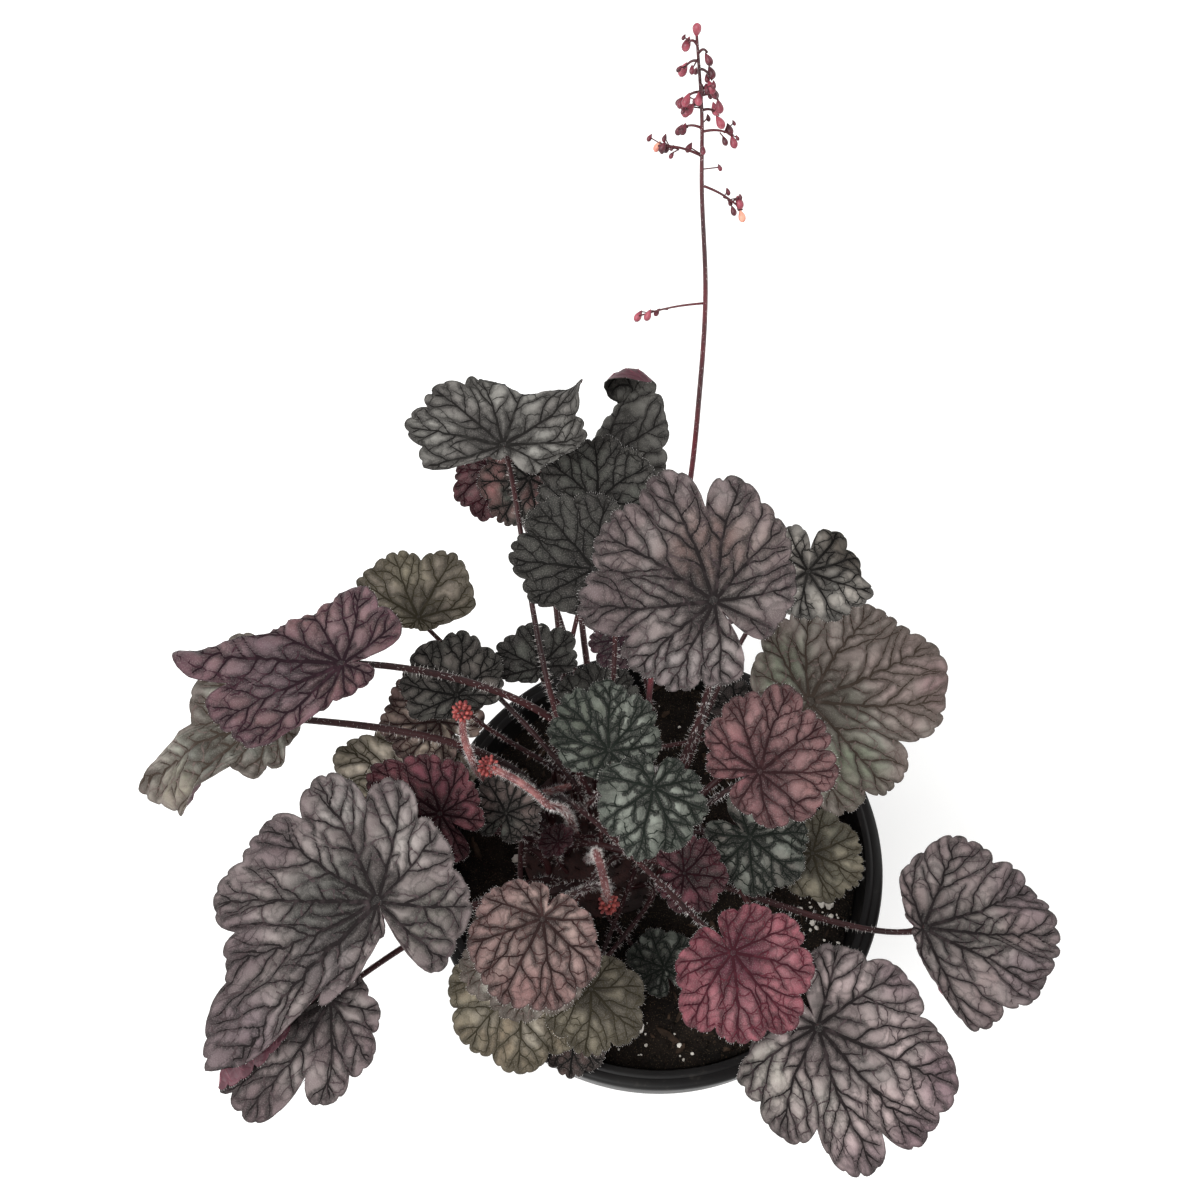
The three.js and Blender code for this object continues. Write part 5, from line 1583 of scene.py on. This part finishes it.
def smooth_path(points, steps):
    """An even curve through the points, the centripetal kind that the solid model uses."""
    points = [Vector(p) for p in points]
    points = [points[0] * 2 - points[1], *points, points[-1] * 2 - points[-2]]
    places = []
    spans = len(points) - 3
    for step in range(steps + 1):
        whole = step / steps * spans
        i = min(int(whole), spans - 1)
        a, b, c, d = points[i:i + 4]
        t0 = 0.0
        t1 = t0 + (b - a).length ** 0.5
        t2 = t1 + (c - b).length ** 0.5
        t3 = t2 + (d - c).length ** 0.5
        t = t1 + (t2 - t1) * (whole - i)
        ab = (t1 - t) / (t1 - t0) * a + (t - t0) / (t1 - t0) * b
        bc = (t2 - t) / (t2 - t1) * b + (t - t1) / (t2 - t1) * c
        cd = (t3 - t) / (t3 - t2) * c + (t - t2) / (t3 - t2) * d
        abc = (t2 - t) / (t2 - t0) * ab + (t - t0) / (t2 - t0) * bc
        bcd = (t3 - t) / (t3 - t1) * bc + (t - t1) / (t3 - t1) * cd
        places.append((t2 - t) / (t2 - t1) * abc + (t - t1) / (t2 - t1) * bcd)
    return np.array(places)


def drop_bud(rng, place, axis, radius, sides=12):
    """A closed flower bud: narrow at its stalk, fullest past the middle, with folded sepal tips."""
    axis = Vector(axis).normalized()
    across = axis.orthogonal().normalized()
    up = axis.cross(across)
    twist = rng.uniform(0, 1.2)
    rings = []
    for t in np.linspace(0, 1, BUD_RINGS + 2)[1:-1]:
        full = radius * (math.sin(math.pi * t ** 1.25) ** 0.62) * (0.62 + 0.38 * t)
        for k in range(sides):
            turn = 2 * math.pi * k / sides + twist
            fold = 1 - 0.16 * t ** 2 * (0.5 + 0.5 * math.cos(5 * turn))
            reach = across * math.cos(turn) * full * fold + up * math.sin(turn) * full * fold
            rings.append(Vector(place) + axis * (t - 0.45) * radius * BUD_LENGTH + reach)
    count = len(rings)
    points = np.array(rings + [Vector(place) - axis * 0.45 * radius * BUD_LENGTH,
                               Vector(place) + axis * 0.53 * radius * BUD_LENGTH])
    first = np.arange(sides)
    return points, [grid_faces(BUD_RINGS, sides)[:, ::-1], fan(count, first[::-1]),
                    fan(count + 1, first + count - sides)]


def stem_finish():
    """The stem's skin: maroon, mottled and streaked with paler red."""
    material, tree, shader = new_finish("scape_skin", 0.5)
    place = object_place(tree)
    tone = pattern(tree, "Noise", place, scale=60, detail=4).outputs[0]
    streak = pattern(tree, "Noise", place, scale=1200, detail=2).outputs[0]
    colour = blend_colours(tree, spread(tree, tone, 0.35, 0.65), "2d0c12", "55161f")
    tree.links.new(blend_colours(tree, spread(tree, streak, 0.5, 0.8, 0, 0.4), colour, "6b2a33"),
                   shader.inputs["Base Color"])
    raise_surface(tree, shader, streak, 0.08)
    return material


def bud_finish(name, deep, bright):
    """A bud's skin: waxy, mottled between two reds, with fine down."""
    material, tree, shader = new_finish(name, 0.42)
    place = object_place(tree)
    tone = pattern(tree, "Noise", place, scale=330, detail=3).outputs[0]
    down = pattern(tree, "Noise", place, scale=3000, detail=2).outputs[0]
    tree.links.new(blend_colours(tree, spread(tree, tone, 0.36, 0.62), deep, bright),
                   shader.inputs["Base Color"])
    shader.inputs["Subsurface Weight"].default_value = 0.15
    shader.inputs["Subsurface Radius"].default_value = (0.002, 0.0008, 0.0006)
    raise_surface(tree, shader, down, 0.06)
    return material


def point_at_height(path, height):
    """Where the stem's middle line passes a height."""
    return np.array([np.interp(height, path[:, 2], path[:, i]) for i in range(3)])


def stem_path(spot, points, steps):
    """A stem from its socket in the crown along a smooth curve."""
    foot = foot_of(spot)
    return np.concatenate([[foot - Vector((0, 0, FOOT_DEPTH))], smooth_path([foot, *points], steps)])


def hanging(rng, aim):
    """The way a bud points: outward, nodding towards the light and down."""
    return aim * 0.5 + [rng.uniform(-0.25, 0.25), rng.uniform(-1, -0.5), rng.uniform(-1, -0.6)]


def flower_buds(rng, path):
    """Side branches and their threads, and the buds: small dark ones, larger bright ones, and the
    palest at the ends of the fullest branches."""
    stems, dark, bright, palest = [], [], [], []
    for height, heading, length, rise, count in BRANCHES:
        root = point_at_height(path, height)
        turn = math.radians(heading)
        aim = np.array([math.cos(turn), math.sin(turn), 0])
        tip = root + aim * length + [0, 0, rise]
        way = np.linspace(0, 1, BRANCH_STEPS)[:, None]
        droop = np.array([0, 0, 1]) * (0.9 * np.sin(np.pi * way))
        stems.append(tube(root + (tip - root) * way + droop, np.linspace(*BRANCH_RADII, BRANCH_STEPS), 7))
        for k in range(count):
            share = 1 - 0.42 * k / count
            side = BUD_OFFSET if k % 2 else -BUD_OFFSET
            place = root + (tip - root) * share
            place = place + side * np.array([-aim[1], aim[0], 0])
            place = place + [0, 0, BUD_OFFSET if k == 1 else -BUD_OFFSET]
            hang = hanging(rng, aim)
            radius = BUD_RADIUS * (1 - 0.12 * k) * rng.uniform(0.8, 1.15)
            shape = drop_bud(rng, place, hang, radius)
            if k == 0 and count == FULL_BRANCH:
                palest.append(shape)
            else:
                (bright if radius > BRIGHT_RADIUS else dark).append(shape)
            start = root + (tip - root) * max(share - 0.16, 0) + [0, 0, 0.3]
            thread = np.linspace(start, place - hang / np.linalg.norm(hang) * radius, 4)
            stems.append(tube(thread, np.full(4, THREAD_RADIUS), 5))
            for _ in range(rng.choice((0, 1, 1))):
                small = place + [rng.uniform(-2.2, 2.2), rng.uniform(-2, 2), rng.uniform(0.5, 2.2)]
                stems.append(tube(np.linspace(start, small, 3), np.full(3, 0.15), 5))
                dark.append(drop_bud(rng, small, hanging(rng, aim), rng.uniform(0.45, 0.72), 8))
    for k in range(LONE_BUDS):
        root = point_at_height(path, LONE_BUDS_FROM + LONE_BUDS_STEP * k)
        turn = math.radians(GOLDEN_ANGLE * k)
        aim = np.array([math.cos(turn), math.sin(turn), 0])
        place = root + aim * rng.uniform(2.4, 4.6) * (1 - 0.03 * k) + [0, 0, rng.uniform(-0.8, 1.6)]
        stems.append(tube(np.linspace(root, place, 3), np.full(3, THREAD_RADIUS), 5))
        dark.append(drop_bud(rng, place, hanging(rng, aim), rng.uniform(0.6, 0.95), 10))
    return stems, dark, bright, palest


scape_rng = random.Random(31)
scape_path = stem_path(SCAPE_SPOT, SCAPE_PATH, SCAPE_STEPS)
scape_radii = np.linspace(SCAPE_RADIUS, SCAPE_TIP_RADIUS, len(scape_path))
stems, dark_buds, bright_buds, pale_buds = flower_buds(scape_rng, scape_path)
bright_buds.append(drop_bud(scape_rng, scape_path[-1] + [0, 0, 0.6], (0, 0, 1), BUD_RADIUS))
scape_skin = stem_finish()
dark_bud_skin = bud_finish("young_bud_skin", "3d0f19", "6e2836")
bright_bud_skin = bud_finish("ripe_bud_skin", "6d2433", "a34c5a")
pale_bud_skin = bud_finish("peach_bud_skin", "b95f55", "e3a68c")
scape = make_piece("flower_stem", [
    painted(tube(scape_path, scape_radii, SCAPE_SIDES), 0),
    *[painted(shape, 0) for shape in stems],
    *[painted(shape, 1) for shape in dark_buds],
    *[painted(shape, 2) for shape in bright_buds],
    *[painted(shape, 3) for shape in pale_buds],
    painted(stem_hairs(scape_rng, scape_path[2:], scape_radii[2:], SCAPE_HAIRS, SCAPE_HAIR_LENGTH), 4,
            smooth=False),
], [scape_skin, dark_bud_skin, bright_bud_skin, pale_bud_skin, hair_white])
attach(scape, "root")
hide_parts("scape")


# ---- the young flower stems ----
# Three stems still bent over, pink and thickly hairy, each ending in a tight coral head of buds.
YOUNG_SCAPES = {
    "front": (7, [(-23, -6, 140), (-22, -12, 160), (-20, -20, 162), (-18, -27, 152)]),
    "left": (4, [(-33, 8, 147), (-35.5, 6, 158), (-39, 4, 166), (-44, 7, 171), (-52, 12, 172),
                 (-60, 17, 169)]),
    "back": (27, [(-50, 17, 142), (-63, 18, 157), (-66.5, 20.5, 171), (-68.5, 26, 178),
                  (-68.5, 31, 184)]),
}
YOUNG_RADIUS = 1.35
YOUNG_SIDES = 12
YOUNG_STEPS = 36
YOUNG_HAIRS = 14.0  # to a millimetre
YOUNG_HAIR_LENGTH = 1.5
HEAD_RADIUS = 2.6
HEAD_BUD_COUNT = 34


def pink_skin():
    """Young stem: pale pink over wine red."""
    material, tree, shader = new_finish("young_stem_skin", 0.5)
    tone = pattern(tree, "Noise", object_place(tree), scale=220, detail=4).outputs[0]
    tree.links.new(blend_colours(tree, spread(tree, tone, 0.35, 0.65), "5c2f31", "96625f"),
                   shader.inputs["Base Color"])
    return material


def bud_head(rng, middle):
    """A tight head: buds set round a ball by the golden angle, each pointing outward."""
    buds = []
    for k in range(HEAD_BUD_COUNT):
        lift = 1 - 2 * (k + 0.5) / HEAD_BUD_COUNT
        turn = k * math.radians(GOLDEN_ANGLE)
        flat = math.sqrt(1 - lift ** 2)
        out = np.array([flat * math.cos(turn), flat * math.sin(turn), lift])
        place = middle + out * HEAD_RADIUS * rng.uniform(0.85, 1.25)
        buds.append(drop_bud(rng, place, out, rng.uniform(0.62, 0.95), 8))
    return buds


pink_stem = pink_skin()
coral_skin = bud_finish("coral_bud_skin", "6e2226", "ae524c")
for name, (spot, points) in YOUNG_SCAPES.items():
    young_rng = random.Random(spot)
    young_path = stem_path(spot, points, YOUNG_STEPS)
    young_radii = np.full(len(young_path), YOUNG_RADIUS)
    young = make_piece(f"bent_stem_{name}", [
        painted(tube(young_path, young_radii, YOUNG_SIDES), 0),
        *[painted(shape, 1) for shape in bud_head(young_rng, young_path[-1])],
        painted(stem_hairs(young_rng, young_path[2:], young_radii[2:], YOUNG_HAIRS, YOUNG_HAIR_LENGTH), 2,
                smooth=False),
    ], [pink_stem, coral_skin, hair_white])
    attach(young, "root")
    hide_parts(f"young_scape_{name}")


# ---- floor, light and camera ----
# A plain pale floor, a broad soft light from the upper left with a weaker one from the right, and
# a camera that looks down on the pot from in front.
FLOOR_COLOUR = "f4f4f3"
FLOOR_GLOW = 0.25
FLOOR_REACH = 4000
LIT_PLACE = (0, 0, 0.18)
ROOM_LIGHT = 0.66
CAMERA_PLACE = (-0.021, -0.168, 0.6265)
CAMERA_TILT = 28.8
CAMERA_LENS = 42
CAMERA_SENSOR = 36


def pale_floor():
    """A wide plain sheet under the pot."""
    material, tree, shader = new_finish("pale_floor", 0.9)
    shader.inputs["Base Color"].default_value = linear(FLOOR_COLOUR)
    shader.inputs["Emission Color"].default_value = linear(FLOOR_COLOUR)
    shader.inputs["Emission Strength"].default_value = FLOOR_GLOW
    corners = FLOOR_REACH * np.array([(-1, -1, 0), (1, -1, 0), (1, 1, 0), (-1, 1, 0)])
    floor = make_piece("floor", [painted((corners, [np.array([[0, 1, 2, 3]])]))], [material])


def soft_light(name, place, target, size, power):
    """A square panel of white light that faces its target."""
    lamp = bpy.data.lights.new(name, "AREA")
    lamp.size = size
    lamp.energy = power
    light = bpy.data.objects.new(name, lamp)
    light.location = place
    light.rotation_euler = (Vector(target) - Vector(place)).to_track_quat("-Z", "Y").to_euler()
    bpy.context.scene.collection.objects.link(light)


pale_floor()
soft_light("window", (-0.9, -0.7, 1.5), LIT_PLACE, 1.3, 34)
soft_light("fill", (1.1, 0.3, 1.2), LIT_PLACE, 1.2, 8)

world = bpy.data.worlds.new("studio")
world.use_nodes = True
world.node_tree.nodes["Background"].inputs["Color"].default_value = (1, 1, 1, 1)
world.node_tree.nodes["Background"].inputs["Strength"].default_value = ROOM_LIGHT
bpy.context.scene.world = world
bpy.context.scene.view_settings.view_transform = "Standard"

lens = bpy.data.cameras.new("camera")
lens.lens = CAMERA_LENS
lens.sensor_width = CAMERA_SENSOR
camera = bpy.data.objects.new("camera", lens)
camera.location = CAMERA_PLACE
camera.rotation_euler = (math.radians(CAMERA_TILT), 0, 0)
bpy.context.scene.collection.objects.link(camera)
bpy.context.scene.camera = camera
